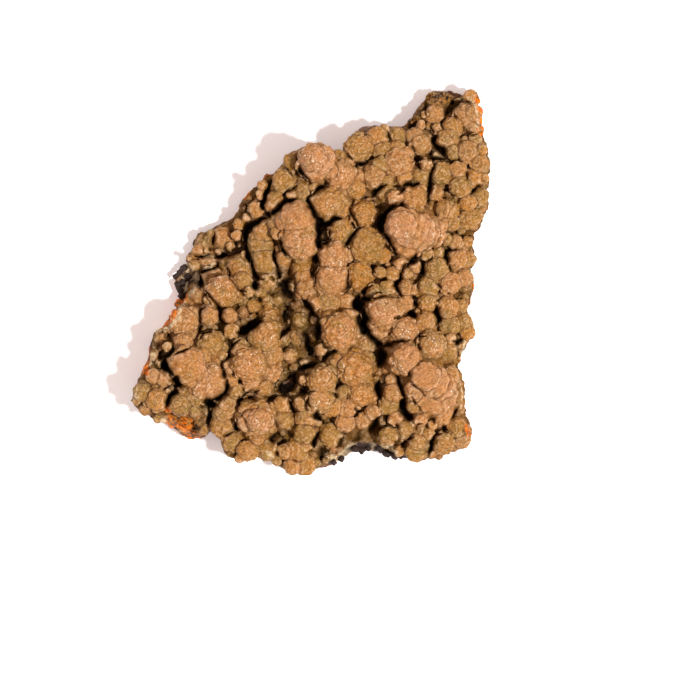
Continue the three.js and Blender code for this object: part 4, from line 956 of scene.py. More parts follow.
@dataclass
class Crust:
    """The botryoidal crust: a floor and the clusters of beads on it, in millimetres."""

    voxel: float = 0.16
    floor_voxel: float = 0.32
    floor_share: float = 0.8
    floor_drop: float = 0.2
    bed_cover: float = 0.9
    rim_room: float = 0.3
    swelling: float = 1.27
    head_swelling: float = 1.04
    flatness: float = 0.72
    overhang: float = 0.36
    infill_count: int = 6000
    infill_low: float = 0.55
    infill_high: float = 1.2
    ring_spacing: float = 0.62
    ring_height: float = 0.09
    scale_size: float = 1.35
    scale_height: float = 0.34
    crease_depth: float = 0.04
    crumb_size: float = 0.5
    crumb_height: float = 0.07
    grain_height: float = 0.05
    seam_depth: float = 0.1
    crease_width: float = 0.1
    seam_width: float = 0.16
    rim_place: float = 0.3
    ring_lean: float = 0.22
    ring_wander: float = 0.7
    ring_rise: float = 0.8
    ring_fall: float = 0.2
    plate_scales: float = 0.3
    plate_seat: float = 0.8
    plate_tint: float = 0.8
    plate_flatness: float = 0.83
    small_flatness: float = 0.85
    least_skirt: float = 0.5
    least_infill: float = 0.45
    hole_reach: float = 0.9
    chip_reach: float = 0.6
    edge_fade: float = 1.5
    foot_fade: float = 4.0
    shelter_fall: float = 1.6
    tile: float = 4.0
    near: float = 5.0

    def __post_init__(self) -> None:
        self.chance = random.Random(5)
        self.grain = Grain(3)
        self.beads = self.listed_beads()
        self.beads += self.skirt_beads()
        self.beads += self.infill_beads() + self.curl_beads()

    def listed_beads(self) -> list:
        """The beads of the lists, each with its height and form."""
        beads = []
        for x, y, radius, rank, *form in HEADS + WESTERN_BEADS + MIDDLE_BEADS + EASTERN_BEADS:
            jitter = self.chance.uniform(-0.7, 0.35) if radius < 2 else 0
            top = float(crest(x, y)) + rank.value + jitter - 0.15
            grown = form[0] if form else self.usual_form(radius)
            swollen = radius * (self.swelling if radius < 2.2 else self.head_swelling)
            room = min(float(edge_distance(x, y)) + 0.1, float(crevice_room(x, y)) + self.overhang)
            radius = max(0.8 * radius, min(swollen, room))
            broken = radius < 1.5 and bells(CHIPS, x, y) > 0.8
            if not broken:
                low = top - self.flatness * radius
                beads.append(Bead(x, y, low, radius, grown, self.chance.random(), self.flatness))
        peak = float(crest(*GREAT_ROSETTE)) + TALL.value
        plates = [(x, y, radius, peak - drop) for x, y, radius, drop in ROSETTE_PLATES]
        peak = float(crest(*SOUTH_EASTERN_ROSETTE)) + HEAD.value + 0.7
        plates += [(x, y, radius, peak - drop) for x, y, radius, drop in SOUTH_EASTERN_PLATES]
        for x, y, radius, top in plates:
            low = top - self.plate_seat * radius
            beads.append(Bead(x, y, low, radius, Form.PLATE, self.plate_tint, self.plate_flatness))
        return beads

    def skirt_beads(self) -> list:
        """Smaller beads on the flanks of the larger ones, stepping down from them."""
        skirts = []
        for parent in self.beads:
            if parent.radius < 1.75 or parent.form is Form.PLATE:
                continue
            tiers = 2 if parent.radius > 2.5 else 1
            count = round(3 + 2.2 * parent.radius)
            for k in range(count * tiers):
                turn = TURN * (k + self.chance.uniform(-0.3, 0.3)) / count
                tier = k // count
                out = parent.radius * (self.chance.uniform(0.72, 1.0) + 0.15 * tier)
                radius = min(max(parent.radius * self.chance.uniform(0.34, 0.56), 0.6), 1.35)
                x, y = parent.x + out * math.cos(turn), parent.y + out * math.sin(turn)
                z = parent.z + parent.radius * (self.chance.uniform(-0.55, -0.05) - 0.5 * tier)
                radius = min(radius, float(crevice_room(x, y)) + self.overhang)
                outside = not within(x, y) or edge_distance(x, y) < radius * 0.8
                if radius < self.least_skirt or outside or self.bare(x, y):
                    continue
                skirts.append(Bead(x, y, z, radius, Form.ROUND, parent.tint, self.small_flatness))
        return skirts

    def bare(self, x: float, y: float) -> bool:
        """Whether a place lies in a deep hole or where the crust is broken away."""
        return bells(HOLES, x, y) > self.hole_reach or bells(CHIPS, x, y) > self.chip_reach

    def usual_form(self, radius: float) -> Form:
        """The form that a bead of a size usually has."""
        if radius < 1.2:
            return Form.ROUND
        if radius < 1.75:
            return self.chance.choice((Form.ROUND, Form.ROUND, Form.SCALY, Form.STEPPED))
        return self.chance.choice((Form.SCALY, Form.SCALY, Form.STEPPED))

    def floor_height(self, x: float, y: float) -> float:
        """Height of the dressed floor, with its deep holes."""
        low = float(crust_floor(x, y)) - self.floor_drop - float(bells(HOLES, x, y))
        return max(low, float(rock_top(x, y)) + self.bed_cover)

    def infill_beads(self) -> list:
        """Small beads in the crevices that the lists leave open."""
        fixed = np.array([(b.x, b.y, b.radius) for b in self.beads])
        spread = np.array([
            (self.chance.uniform(-29, 29), self.chance.uniform(-31, 31),
             self.chance.uniform(self.infill_low, self.infill_high))
            for _ in range(self.infill_count)
        ])
        spread[:, 2] = np.minimum(spread[:, 2], crevice_room(spread[:, 0], spread[:, 1]) + self.overhang)
        taken = []
        for x, y, radius in spread[spread[:, 2] > self.least_infill]:
            away = np.hypot(fixed[:, 0] - x, fixed[:, 1] - y)
            near_list = np.min(away - 0.95 * fixed[:, 2]) < radius * 0.35
            near_taken = any(math.hypot(t[0] - x, t[1] - y) < 0.85 * (t[2] + radius) for t in taken)
            outside = not within(x, y) or edge_distance(x, y) < radius * 0.6
            if near_list or near_taken or outside or self.bare(x, y):
                continue
            taken.append((x, y, radius))
        return [self.small_bead(x, y, radius) for x, y, radius in taken]

    def small_bead(self, x: float, y: float, radius: float) -> Bead:
        """A bead that sits low on the floor."""
        lift = self.chance.uniform(0.2, 1.2)
        low = self.floor_height(x, y) + lift
        return Bead(x, y, low, radius, Form.ROUND, self.chance.random(), self.small_flatness)

    def curl_beads(self) -> list:
        """Rows of beads down the side where the crust curls over the rock."""
        beads = []
        for (ax, ay), (bx, by) in zip(OUTLINE, OUTLINE[1:] + OUTLINE[:1]):
            length = math.hypot(bx - ax, by - ay)
            for _ in range(max(1, round(length * 2.4))):
                share, radius = self.chance.random(), self.chance.uniform(0.7, 1.25)
                x, y = ax + share * (bx - ax), ay + share * (by - ay)
                arm = math.hypot(x - CORE[0], y - CORE[1])
                pull = 1 - (radius + 0.12) / arm
                x, y = CORE[0] + (x - CORE[0]) * pull, CORE[1] + (y - CORE[1]) * pull
                side = float(curled(x, y))
                chip = float(bells(CHIPS, x, y))
                if side < 0.12 or chip > 0.4:
                    continue
                top = float(crust_floor(x, y)) + 0.4
                low = max(1.3, float(rock_top(x, y)) + 0.6 - 3.4 * side)
                z = self.chance.uniform(min(low, top), top)
                beads.append(Bead(x, y, z, radius, Form.ROUND, self.chance.random()))
        return beads

    def model_floor(self) -> bpy.types.Object:
        """The floor: the crust's own solid, pressed down between the beads.

        Returns:
            The floor, in millimetres.
        """
        thing = solid_copy("mottramite_crust", "crust_floor")
        points = read_points(thing)
        x, y, z = points.T
        floor = crust_floor(x, y)
        above = z > floor
        pressed = np.where(above, floor + self.floor_share * (z - floor), z)
        points[:, 2] = pressed - self.floor_drop * (z > rock_top(x, y) + 0.8)
        bed = rock_top(x, y) + self.bed_cover
        deep = points[:, 2] > bed
        sunk = np.maximum(points[:, 2] - bells(HOLES, x, y), bed)
        points[:, 2] = np.where(deep, sunk, points[:, 2])
        arm = np.hypot(x - CORE[0], y - CORE[1])
        pull = 1 - self.rim_room * np.clip(1 - edge_distance(x, y) / 3, 0, 1) / np.maximum(arm, 1)
        points[:, 0] = CORE[0] + (x - CORE[0]) * pull
        points[:, 1] = CORE[1] + (y - CORE[1]) * pull
        write_points(thing, points)
        finish_with(thing, "REMESH", mode="VOXEL", voxel_size=self.floor_voxel)
        finish_with(thing, "SMOOTH", factor=0.5, iterations=4)
        return thing

    def model_cluster(self, name: str, beads: list, forms: BeadForms) -> bpy.types.Object:
        """Grow one cluster's beads into each other.

        Args:
            name: the piece's name.
            beads: its beads.
            forms: the forms to copy.

        Returns:
            The cluster, in millimetres.
        """
        copies = []
        for bead in beads:
            copies.append(forms.place(bead))
            copies.append(forms.stem(bead, self.floor_height(bead.x, bead.y) - 0.5))
        thing = join(copies, name)
        finish_with(thing, "REMESH", mode="VOXEL", voxel_size=self.voxel)
        return thing

    def nearest_beads(self, points: np.ndarray, beads: list) -> tuple:
        """Find the bead that each place belongs to, tile by tile.

        Args:
            points: places, in millimetres.
            beads: the beads.

        Returns:
            The bead's index, how much farther the next bead is, and how far the place lies under
            the tops around it.
        """
        middles = np.array([(b.x, b.y, b.z) for b in beads])
        radii = np.array([b.radius for b in beads])
        flats = np.array([b.flat for b in beads])
        owner, seam, shelter = (np.zeros(len(points), kind) for kind in (int, float, float))
        tiles = np.floor(points[:, 0] / self.tile) * 1000 + np.floor(points[:, 1] / self.tile)
        for tile in np.unique(tiles):
            inside = np.flatnonzero(tiles == tile)
            part = points[inside]
            low, high = part.min(axis=0) - self.near, part.max(axis=0) + self.near
            beside = (middles[:, :2] > low[:2]) & (middles[:, :2] < high[:2])
            close = np.flatnonzero(np.all(beside, axis=1))
            if len(close) < 2:
                continue
            across = np.hypot(part[:, 0, None] - middles[close, 0], part[:, 1, None] - middles[close, 1])
            up = (part[:, 2, None] - middles[close, 2]) * (1 / flats[close])
            gap = rounded(across, up) - radii[close]
            owner[inside] = close[np.argmin(gap, axis=1)]
            nearest = np.partition(gap, 1, axis=1)
            seam[inside] = nearest[:, 1] - nearest[:, 0]
            apart = np.maximum(across - radii[close], 0)
            tops = middles[close, 2] + radii[close] / (1 / flats[close]) - self.shelter_fall * apart
            shelter[inside] = np.max(tops, axis=1) - part[:, 2]
        return owner, seam, shelter

    def rings(self, points: np.ndarray, beads: list, owner: np.ndarray) -> tuple:
        """Work out the growth rings round each bead's own leaning axis.

        Args:
            points: places, in millimetres.
            beads: the beads.
            owner: the index of each place's bead.

        Returns:
            The rings' height from 0 to 1, and how strong they are.
        """
        middles = np.array([(b.x, b.y, b.z) for b in beads])
        squash = np.array([(1, 1, 1 / b.flat) for b in beads])
        radius = np.array([b.radius for b in beads])[owner]
        arm = (points - middles[owner]) * squash[owner]
        leans = np.random.default_rng(8).normal(0, self.ring_lean, (len(beads), 2))[owner]
        axis = np.stack([leans[:, 0], leans[:, 1], np.ones(len(points))], 1)
        axis /= np.linalg.norm(axis, axis=1, keepdims=True)
        angle = np.arccos(np.clip(np.sum(arm * axis, 1) / np.linalg.norm(arm, axis=1), -1, 1))
        warp = self.grain.layered(points, 1.3, 3)
        draws = np.random.default_rng(9).uniform(0, 1, (len(beads), 2))[owner]
        phase = angle * radius / self.ring_spacing + self.ring_wander * warp + draws[:, 0]
        saw = phase - np.floor(phase)
        rising = saw < self.ring_rise
        ledge = np.where(rising, saw / self.ring_rise, (1 - saw) / self.ring_fall)
        strength = np.clip(radius / 1.6, 0.3, 1.3) * (0.15 + 1.1 * draws[:, 1] ** 2)
        return ledge, strength * np.clip(1.5 - angle, 0, 1)

    def cut_crevices(self, points: np.ndarray) -> np.ndarray:
        """Sink the places that lie in crevices, and tell how deep the cut is."""
        x, y = points[:, 0], points[:, 1]
        cut = crevice_depth(points, self.grain) * np.clip(edge_distance(x, y) / self.edge_fade, 0, 1)
        cut = cut * np.clip(points[:, 2] / self.foot_fade, 0, 1)
        bed = rock_top(x, y) + self.bed_cover
        sunk = points[:, 2] - cut
        points[:, 2] = np.where(points[:, 2] > bed, np.maximum(sunk, bed), sunk)
        return cut

    def relief(self, thing: bpy.types.Object, beads: list) -> None:
        """Give each bead its growth rings and grain, and keep what the finish reads.

        Args:
            thing: the piece.
            beads: the beads whose rings it carries.
        """
        points, normals = read_points(thing), read_normals(thing)
        owner, seam, shelter = self.nearest_beads(points, beads)
        ledge, strength = self.rings(points, beads, owner)
        smooth = np.array([self.plate_scales if b.form is Form.PLATE else 1.0 for b in beads])[owner]
        warped = points + 0.4 * np.stack([self.grain.at(points + 11 * k, 1.7) for k in range(3)], 1)
        scale, gap = self.grain.cells(warped, self.scale_size)
        crumb, _ = self.grain.cells(points + 40, self.crumb_size)
        rough = np.clip(bells(ROUGH_SPOTS, points[:, 0], points[:, 1]), 0, 1.2)
        grain = self.grain.at(points, 0.4) + 0.7 * self.grain.at(points + 31, 0.24)
        lift = self.ring_height * strength * (ledge - 0.5) + self.grain_height * grain
        uneven = 0.75 + 0.5 * self.grain.at(points + 80, 3.0)
        lift += self.scale_height * smooth * uneven * (0.3 - scale**2)
        lift += self.crumb_height * (0.3 - crumb**2)
        lift -= self.crease_depth * smooth * np.exp(-((gap / self.crease_width) ** 2))
        lift += rough * (0.55 * self.grain.layered(points + 60, 0.9, 3) - 0.15)
        lift -= self.seam_depth * np.exp(-((seam / self.seam_width) ** 2))
        points = points + normals * lift[:, None]
        cut = self.cut_crevices(points)
        write_points(thing, points)
        write_values(thing, "chasm", np.clip((cut - 0.8) / 1.2, 0, 1))
        write_values(thing, "seam", np.exp(-((seam / 0.13) ** 2)))
        write_values(thing, "rim", np.exp(-(((seam - self.rim_place) / self.seam_width) ** 2)))
        write_values(thing, "shelter", np.clip(shelter / 4, 0, 1))
        write_values(thing, "tint", np.array([b.tint for b in beads])[owner])
        write_values(thing, "ledge", np.clip((ledge - 0.75) / 0.25, 0, 1) * np.clip(strength, 0, 1))
        write_values(thing, "scale", 1 - np.clip((gap + 1 - smooth) / 0.5, 0, 1))
        write_values(thing, "rough", np.clip(rough * 1.5 - 0.3, 0, 1))

    def keep_values(self, thing: bpy.types.Object) -> None:
        """Keep the height, the grooves and the ridges for the finish."""
        points = read_points(thing)
        x, y, z = points.T
        write_values(thing, "rise", np.clip((z - crest(x, y) + CRUST_DEPTH) / 7.5, 0, 1))
        bend = read_bend(thing, 1) / self.voxel
        wide = read_bend(thing, 10)
        write_values(thing, "groove", np.clip(bend * 2.2, 0, 1))
        write_values(thing, "ridge", np.clip(-bend * 2.2, 0, 1))
        write_values(thing, "hollow", np.clip((wide - 0.01) / 0.14, 0, 1))
        write_values(thing, "brow", np.clip((-wide - 0.06) / 0.13, 0, 1))
        broken = np.clip(bells(CHIPS, x, y) * 1.6 - 0.5, 0, 1) * np.clip(1.6 - edge_distance(x, y), 0, 1)
        write_values(thing, "broken", broken * np.clip((crust_floor(x, y) + 0.6 - z) / 0.8, 0, 1))
        write_values(thing, "cream", painted(CREAM_LINES, points, self.grain))
        write_values(thing, "orange", painted(ORANGE_LINES, points, self.grain))

    def build(self, finish: "CrustFinish") -> list:
        """Make the floor and the clusters.

        Args:
            finish: the finish of the whole crust.

        Returns:
            The pieces, in metres.
        """
        forms = BeadForms()
        middles = np.array(list(CLUSTERS.values()))
        floor = self.model_floor()
        self.relief(floor, self.beads)
        pieces = [floor]
        for index, name in enumerate(CLUSTERS):
            beads = [
                b for b in self.beads
                if np.argmin(np.hypot(middles[:, 0] - b.x, middles[:, 1] - b.y)) == index
            ]
            cluster = self.model_cluster(f"crust_{name}", beads, forms)
            self.relief(cluster, beads)
            pieces.append(cluster)
        forms.clear()
        material = finish.material()
        for piece in pieces:
            self.keep_values(piece)
            settle(piece, material)
            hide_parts("mottramite_crust")
        return pieces


def settle(thing: bpy.types.Object, material: bpy.types.Material) -> None:
    """Bring a piece to metres inside the solid's box, dress it and let it ride.

    Args:
        thing: the piece, in millimetres.
        material: its material.
    """
    points = read_points(thing) * MM
    low, high = np.array(CAD_BOX[0]), np.array(CAD_BOX[1])
    write_points(thing, np.clip(points, low, high))
    thing.data.materials.clear()
    thing.data.materials.append(material)
    choose(thing)
    bpy.ops.object.shade_smooth()
    clear_selection()
    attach(thing, BODY)


@dataclass
class Rock:
    """The broken rock under the crust, in millimetres."""

    voxel: float = 0.26
    knob_voxel: float = 0.1
    hollow_dip: float = 0.6
    hollow_limit: float = 1.6
    rough_height: float = 0.45
    pit_height: float = 0.3

    def model(self) -> bpy.types.Object:
        """Break up the surface of the rock's own solid.

        Returns:
            The rock, in millimetres.
        """
        thing = solid_copy("matrix", "rock")
        finish_with(thing, "REMESH", mode="VOXEL", voxel_size=self.voxel * 1)
        grain = Grain(17)
        points, normals = read_points(thing), read_normals(thing)
        facets = np.abs(grain.layered(points, 2.4, 3))
        pits = np.clip(grain.at(points, 0.7) - 0.35, 0, 1)
        fine = grain.at(points, 0.35)
        lift = self.rough_height * (0.5 - facets) - 1.6 * self.pit_height * pits + 0.07 * fine
        under = np.clip(points[:, 2] / 0.6, 0, 1)
        moved = points + normals * (lift * (0.3 + 0.7 * under))[:, None]
        dip = self.hollow_dip * np.minimum(bells(HOLES, points[:, 0], points[:, 1]), self.hollow_limit)
        moved[:, 2] -= dip * np.clip(points[:, 2] / 2 - 0.5, 0, 1)
        moved[:, 2] = np.maximum(moved[:, 2], 0)
        write_points(thing, moved)
        return thing

    def model_knobs(self) -> bpy.types.Object:
        """The dark, grape-like cluster at the broken edge.

        Returns:
            The cluster, in millimetres.
        """
        chance = random.Random(4)
        knobs = []
        for x, y, radius in DARK_KNOBS:
            base = float(rock_top(x, y)) + 0.25
            turns = [TURN * k / 4 + chance.uniform(-0.5, 0.5) for k in range(4)]
            lumps = [(0.0, 0.0, radius * 0.85)] + [(0.55 * radius, turn, radius * 0.5) for turn in turns]
            for out, turn, size in lumps:
                where = (x + out * math.cos(turn), y + out * math.sin(turn), base + chance.uniform(0, 0.4))
                clear_selection()
                bpy.ops.mesh.primitive_ico_sphere_add(subdivisions=3, radius=size, location=where)
                knobs.append(bpy.context.view_layer.objects.active)
        thing = join(knobs, "dark_knobs")
        finish_with(thing, "REMESH", mode="VOXEL", voxel_size=self.knob_voxel)
        grain = Grain(29)
        points, normals = read_points(thing), read_normals(thing)
        write_points(thing, points + normals * (0.05 * grain.layered(points, 0.3, 2))[:, None])
        return thing

    def keep_values(self, thing: bpy.types.Object) -> None:
        """Keep where the rock is orange, black and cream."""
        points = read_points(thing)
        x, y, z = points.T
        grain = Grain(23)
        blotch = grain.layered(points, 2.6, 3)
        orange = bells(ORANGE_SPOTS, x, y) + 0.55 * blotch
        black = bells(BLACK_SPOTS, x, y) + 0.5 * grain.layered(points + 50, 2.0, 3)
        cream = bells(CREAM_SPOTS, x, y) + 0.5 * grain.layered(points + 90, 1.4, 3)
        orange = np.maximum(orange * 2 - 0.6, painted(ORANGE_LINES, points, grain))
        write_values(thing, "orange", np.clip(orange, 0, 1))
        knob = 1.0 if thing.name.startswith("dark_knobs") else 0.0
        write_values(thing, "black", np.clip(black * 2 - 0.6, knob, 1))
        cream = np.maximum(cream * 2 - 0.7, painted(CREAM_LINES, points, grain))
        write_values(thing, "cream", np.clip(cream, 0, 1))
        bend = read_bend(thing, 1) / self.voxel
        write_values(thing, "groove", np.clip(bend * 2.2, 0, 1))
        write_values(thing, "ridge", np.clip(-bend * 2.2, 0, 1))

    def build(self, finish: "RockFinish") -> list:
        """Make the rock and its dark knobs.

        Args:
            finish: their finish.

        Returns:
            The pieces, in metres.
        """
        material = finish.material()
        pieces = [self.model(), self.model_knobs()]
        for thing in pieces:
            self.keep_values(thing)
            settle(thing, material)
            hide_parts("matrix")
        return pieces


class NodeBench:
    """A material's nodes, laid out by short calls."""

    def __init__(self, name: str) -> None:
        """Start a material with its shader and output."""
        self.material = bpy.data.materials.new(name)
        self.material.use_nodes = True
        self.nodes = self.material.node_tree.nodes
        self.links = self.material.node_tree.links
        self.shader = self.nodes["Principled BSDF"]
        self.place = self.nodes.new("ShaderNodeTexCoord").outputs["Object"]

    def feed(self, socket: bpy.types.NodeSocket, value: object) -> None:
        """Link a socket, or set a plain value on it."""
        if isinstance(value, bpy.types.NodeSocket):
            self.links.new(value, socket)
        elif isinstance(value, tuple) and len(value) == 3 and socket.type == "RGBA":
            socket.default_value = (*value, 1)
        else:
            socket.default_value = value

    def noise(self, size: float, detail: float = 3, rough: float = 0.55) -> bpy.types.NodeSocket:
        """Noise with features of a size in millimetres."""
        node = self.nodes.new("ShaderNodeTexNoise")
        self.links.new(self.place, node.inputs["Vector"])
        node.inputs["Scale"].default_value = 1 / (size * MM)
        node.inputs["Detail"].default_value = detail
        node.inputs["Roughness"].default_value = rough
        return node.outputs["Fac"]

    def cells(self, size: float) -> bpy.types.NodeSocket:
        """Distance to the middle of cells of a size in millimetres."""
        node = self.nodes.new("ShaderNodeTexVoronoi")
        self.links.new(self.place, node.inputs["Vector"])
        node.inputs["Scale"].default_value = 1 / (size * MM)
        return node.outputs["Distance"]

    def value(self, name: str) -> bpy.types.NodeSocket:
        """A number that the mesh keeps for each vertex."""
        node = self.nodes.new("ShaderNodeAttribute")
        node.attribute_name = name
        return node.outputs["Fac"]

    def combine(self, kind: str, a: object, b: object) -> bpy.types.NodeSocket:
        """Work out ADD, SUBTRACT or MULTIPLY of two numbers, kept from 0 to 1."""
        node = self.nodes.new("ShaderNodeMath")
        node.operation = kind
        node.use_clamp = True
        self.feed(node.inputs[0], a)
        self.feed(node.inputs[1], b)
        return node.outputs[0]

    def product(self, *factors: object) -> object:
        """Multiply numbers, from the first to the last."""
        total = factors[0]
        for factor in factors[1:]:
            total = self.combine("MULTIPLY", total, factor)
        return total

    def span(self, value: object, low: float, high: float) -> bpy.types.NodeSocket:
        """Stretch a number so that low becomes 0 and high becomes 1."""
        node = self.nodes.new("ShaderNodeMapRange")
        node.interpolation_type = "SMOOTHSTEP"
        self.feed(node.inputs["Value"], value)
        node.inputs["From Min"].default_value = low
        node.inputs["From Max"].default_value = high
        return node.outputs["Result"]

    def patches(
        self, size: float, low: float, high: float, detail: float = 3, rough: float = 0.55
    ) -> bpy.types.NodeSocket:
        """Patches of a size in millimetres: noise stretched from low to high."""
        return self.span(self.noise(size, detail, rough), low, high)

    def mix(self, share: object, a: object, b: object, kind: str = "MIX") -> bpy.types.NodeSocket:
        """Mix two colours."""
        node = self.nodes.new("ShaderNodeMix")
        node.data_type = "RGBA"
        node.blend_type = kind
        self.feed(node.inputs["Factor"], share)
        self.feed(node.inputs["A"] if node.inputs["A"].type == "RGBA" else node.inputs[6], a)
        self.feed(node.inputs["B"] if node.inputs["B"].type == "RGBA" else node.inputs[7], b)
        return node.outputs[2]

    def cover(self, colour: object, tone: object, *factors: object) -> bpy.types.NodeSocket:
        """Lay a tone over a colour, as strongly as the product of some numbers."""
        return self.mix(self.product(*factors), colour, tone)

    def bump(self, height: bpy.types.NodeSocket, distance: float, strength: float) -> None:
        """Roughen the shader's normal by a height, with its distance in millimetres."""
        node = self.nodes.new("ShaderNodeBump")
        node.inputs["Distance"].default_value = distance * MM
        node.inputs["Strength"].default_value = strength
        self.links.new(height, node.inputs["Height"])
        self.links.new(node.outputs["Normal"], self.shader.inputs["Normal"])


@dataclass(frozen=True)
class CrustFinish:
    """The drusy surface of the crust."""

    golden: tuple = (0.30, 0.118, 0.011)
    brown: tuple = (0.32, 0.124, 0.022)
    pink: tuple = (0.35, 0.156, 0.065)
    olive: tuple = (0.165, 0.098, 0.016)
    shade: tuple = (0.008, 0.0045, 0.0025)
    # A pale frosted tone, laid mostly as painted highlight on scale edges, ridges, ring ledges, brows and
    # rims, and as pale specks.
    frost_and_highlight: tuple = (0.56, 0.37, 0.22)
    # Painted shade: a dark orange-brown laid in the creases between scales, in hollows and in sheltered
    # places.
    painted_crease_shade: tuple = (0.18, 0.066, 0.008)
    speck: tuple = (0.10, 0.050, 0.030)
    # Painted glints: near-white specks on the higher faces.
    painted_glint: tuple = (0.85, 0.72, 0.58)
    cream: tuple = (0.50, 0.37, 0.22)
    orange: tuple = (0.66, 0.15, 0.006)
    rust: tuple = (0.24, 0.062, 0.010)
    gravel: tuple = (0.30, 0.135, 0.035)

    def ground(self, bench: NodeBench) -> bpy.types.NodeSocket:
        """The crust's colours by height, patch and bead: golden low down and brown higher, pink in patches
        towards the tops, olive in patches and more of it low down, and pink or olive by bead, the olive more
        low down.
        """
        rise, tint = bench.value("rise"), bench.span(bench.value("tint"), 0, 1)
        colour = bench.mix(bench.span(rise, 0.25, 0.62), self.golden, self.brown)
        colour = bench.cover(colour, self.pink, bench.span(rise, 0.5, 0.95), bench.patches(4.0, 0.3, 0.6))
        greenish = bench.product(bench.patches(6.0, 0.42, 0.62), bench.span(rise, 0.75, 0.3), 0.45)
        low = bench.combine("ADD", bench.product(bench.patches(2.2, 0.45, 0.7, 4), 0.55), greenish)
        colour = bench.cover(colour, self.olive, low)
        colour = bench.cover(colour, self.pink, bench.span(tint, 0.5, 1.0), 0.35)
        return bench.cover(colour, self.olive, bench.span(tint, 0.45, 0.0), bench.span(rise, 0.8, 0.4), 0.45)

    def edges(self, bench: NodeBench, colour: bpy.types.NodeSocket) -> bpy.types.NodeSocket:
        """Pale edges of the scales, rings, ridges, brows and rims as painted highlight, painted shade in the
        creases, grooves, seams and hollows, and the fine speckle of dark and pale specks, the pale ones
        partly painted glints.
        """
        scale, speckle = bench.value("scale"), bench.noise(0.24, 3, 0.7)
        veils = (
            (self.painted_crease_shade, bench.span(scale, 0.75, 0.97), bench.patches(1.4, 0.46, 0.6), 0.35),
            (self.frost_and_highlight, bench.span(scale, 0.5, 0.66), bench.span(scale, 0.86, 0.74),
             bench.patches(0.7, 0.48, 0.62, 4), 0.35),
            (self.frost_and_highlight, bench.value("ridge"), bench.patches(0.9, 0.35, 0.7), 0.5),
            (self.frost_and_highlight, bench.value("ledge"), bench.patches(1.3, 0.4, 0.62, 2), 0.5),
            (self.frost_and_highlight, bench.value("brow"), bench.patches(0.6, 0.4, 0.58, 4, 0.7), 0.7),
            (self.frost_and_highlight, bench.span(speckle, 0.57, 0.67), 0.45),
            (self.speck, bench.span(speckle, 0.43, 0.34), 0.55),
            (self.painted_crease_shade, bench.value("hollow"), 0.65),
            (self.frost_and_highlight, bench.value("rim"), bench.patches(0.8, 0.4, 0.62), 0.3),
            (self.shade, bench.value("groove"), 0.35),
            (self.shade, bench.value("seam"), bench.patches(1.6, 0.35, 0.6), 0.35),
        )
        for tone, *factors in veils:
            colour = bench.cover(colour, tone, *factors)
        return colour

    def breaks(self, bench: NodeBench, colour: bpy.types.NodeSocket) -> bpy.types.NodeSocket:
        """Painted glints on the higher faces, gritty and creamy breaks and orange rust."""
        colour = bench.cover(
            colour, self.painted_glint, bench.span(bench.cells(0.34), 0.34, 0.2), bench.patches(4.0, 0.48, 0.56),
            bench.patches(0.9, 0.5, 0.58), bench.span(bench.value("rise"), 0.4, 0.6), 0.8,
        )
        grit = bench.mix(bench.patches(0.8, 0.4, 0.62, 4, 0.7), self.shade, self.gravel)
        colour = bench.cover(colour, grit, bench.value("rough"))
        speckled = bench.patches(0.6, 0.4, 0.56, 5, 0.75)
        for name in ("broken", "cream"):
            colour = bench.cover(colour, self.cream, bench.value(name), speckled)
        rusty = bench.mix(bench.patches(0.5, 0.36, 0.6, 4, 0.7), self.rust, self.orange)
        return bench.cover(colour, rusty, bench.value("orange"), bench.patches(0.9, 0.4, 0.52, 4, 0.7))

    def material(self) -> bpy.types.Material:
        """Build the material."""
        bench = NodeBench("mottramite")
        mottle = bench.patches(0.34, 0.36, 0.64, 4, 0.75)
        uneven = bench.mix(mottle, (0.6, 0.56, 0.5), (1.4, 1.42, 1.45))
        colour = self.edges(bench, bench.mix(0.75, self.ground(bench), uneven, "MULTIPLY"))
        # Painted shade: a dark orange-brown where a place lies under the tops around it, darkened towards
        # near-black in the lowest places and in the crevices.
        sheltered = bench.product(bench.span(bench.value("shelter"), 0.25, 0.9), 0.38)
        deep, chasm = bench.span(bench.value("rise"), 0.2, 0.0), bench.value("chasm")
        colour = bench.cover(colour, self.painted_crease_shade, sheltered)
        colour = bench.cover(colour, self.shade, deep, 0.5)
        colour = bench.cover(colour, self.shade, chasm)
        bench.feed(bench.shader.inputs["Base Color"], self.breaks(bench, colour))
        bench.feed(bench.shader.inputs["Roughness"], bench.mix(mottle, (0.5,) * 3, (0.75,) * 3))
        dark = bench.combine("ADD", bench.combine("ADD", chasm, deep), sheltered)
        gloss = bench.product(bench.combine("SUBTRACT", 1.0, dark), 0.16)
        bench.feed(bench.shader.inputs["Specular IOR Level"], gloss)
        bench.bump(bench.noise(0.26, 4, 0.7), 0.16, 1.0)
        return bench.material


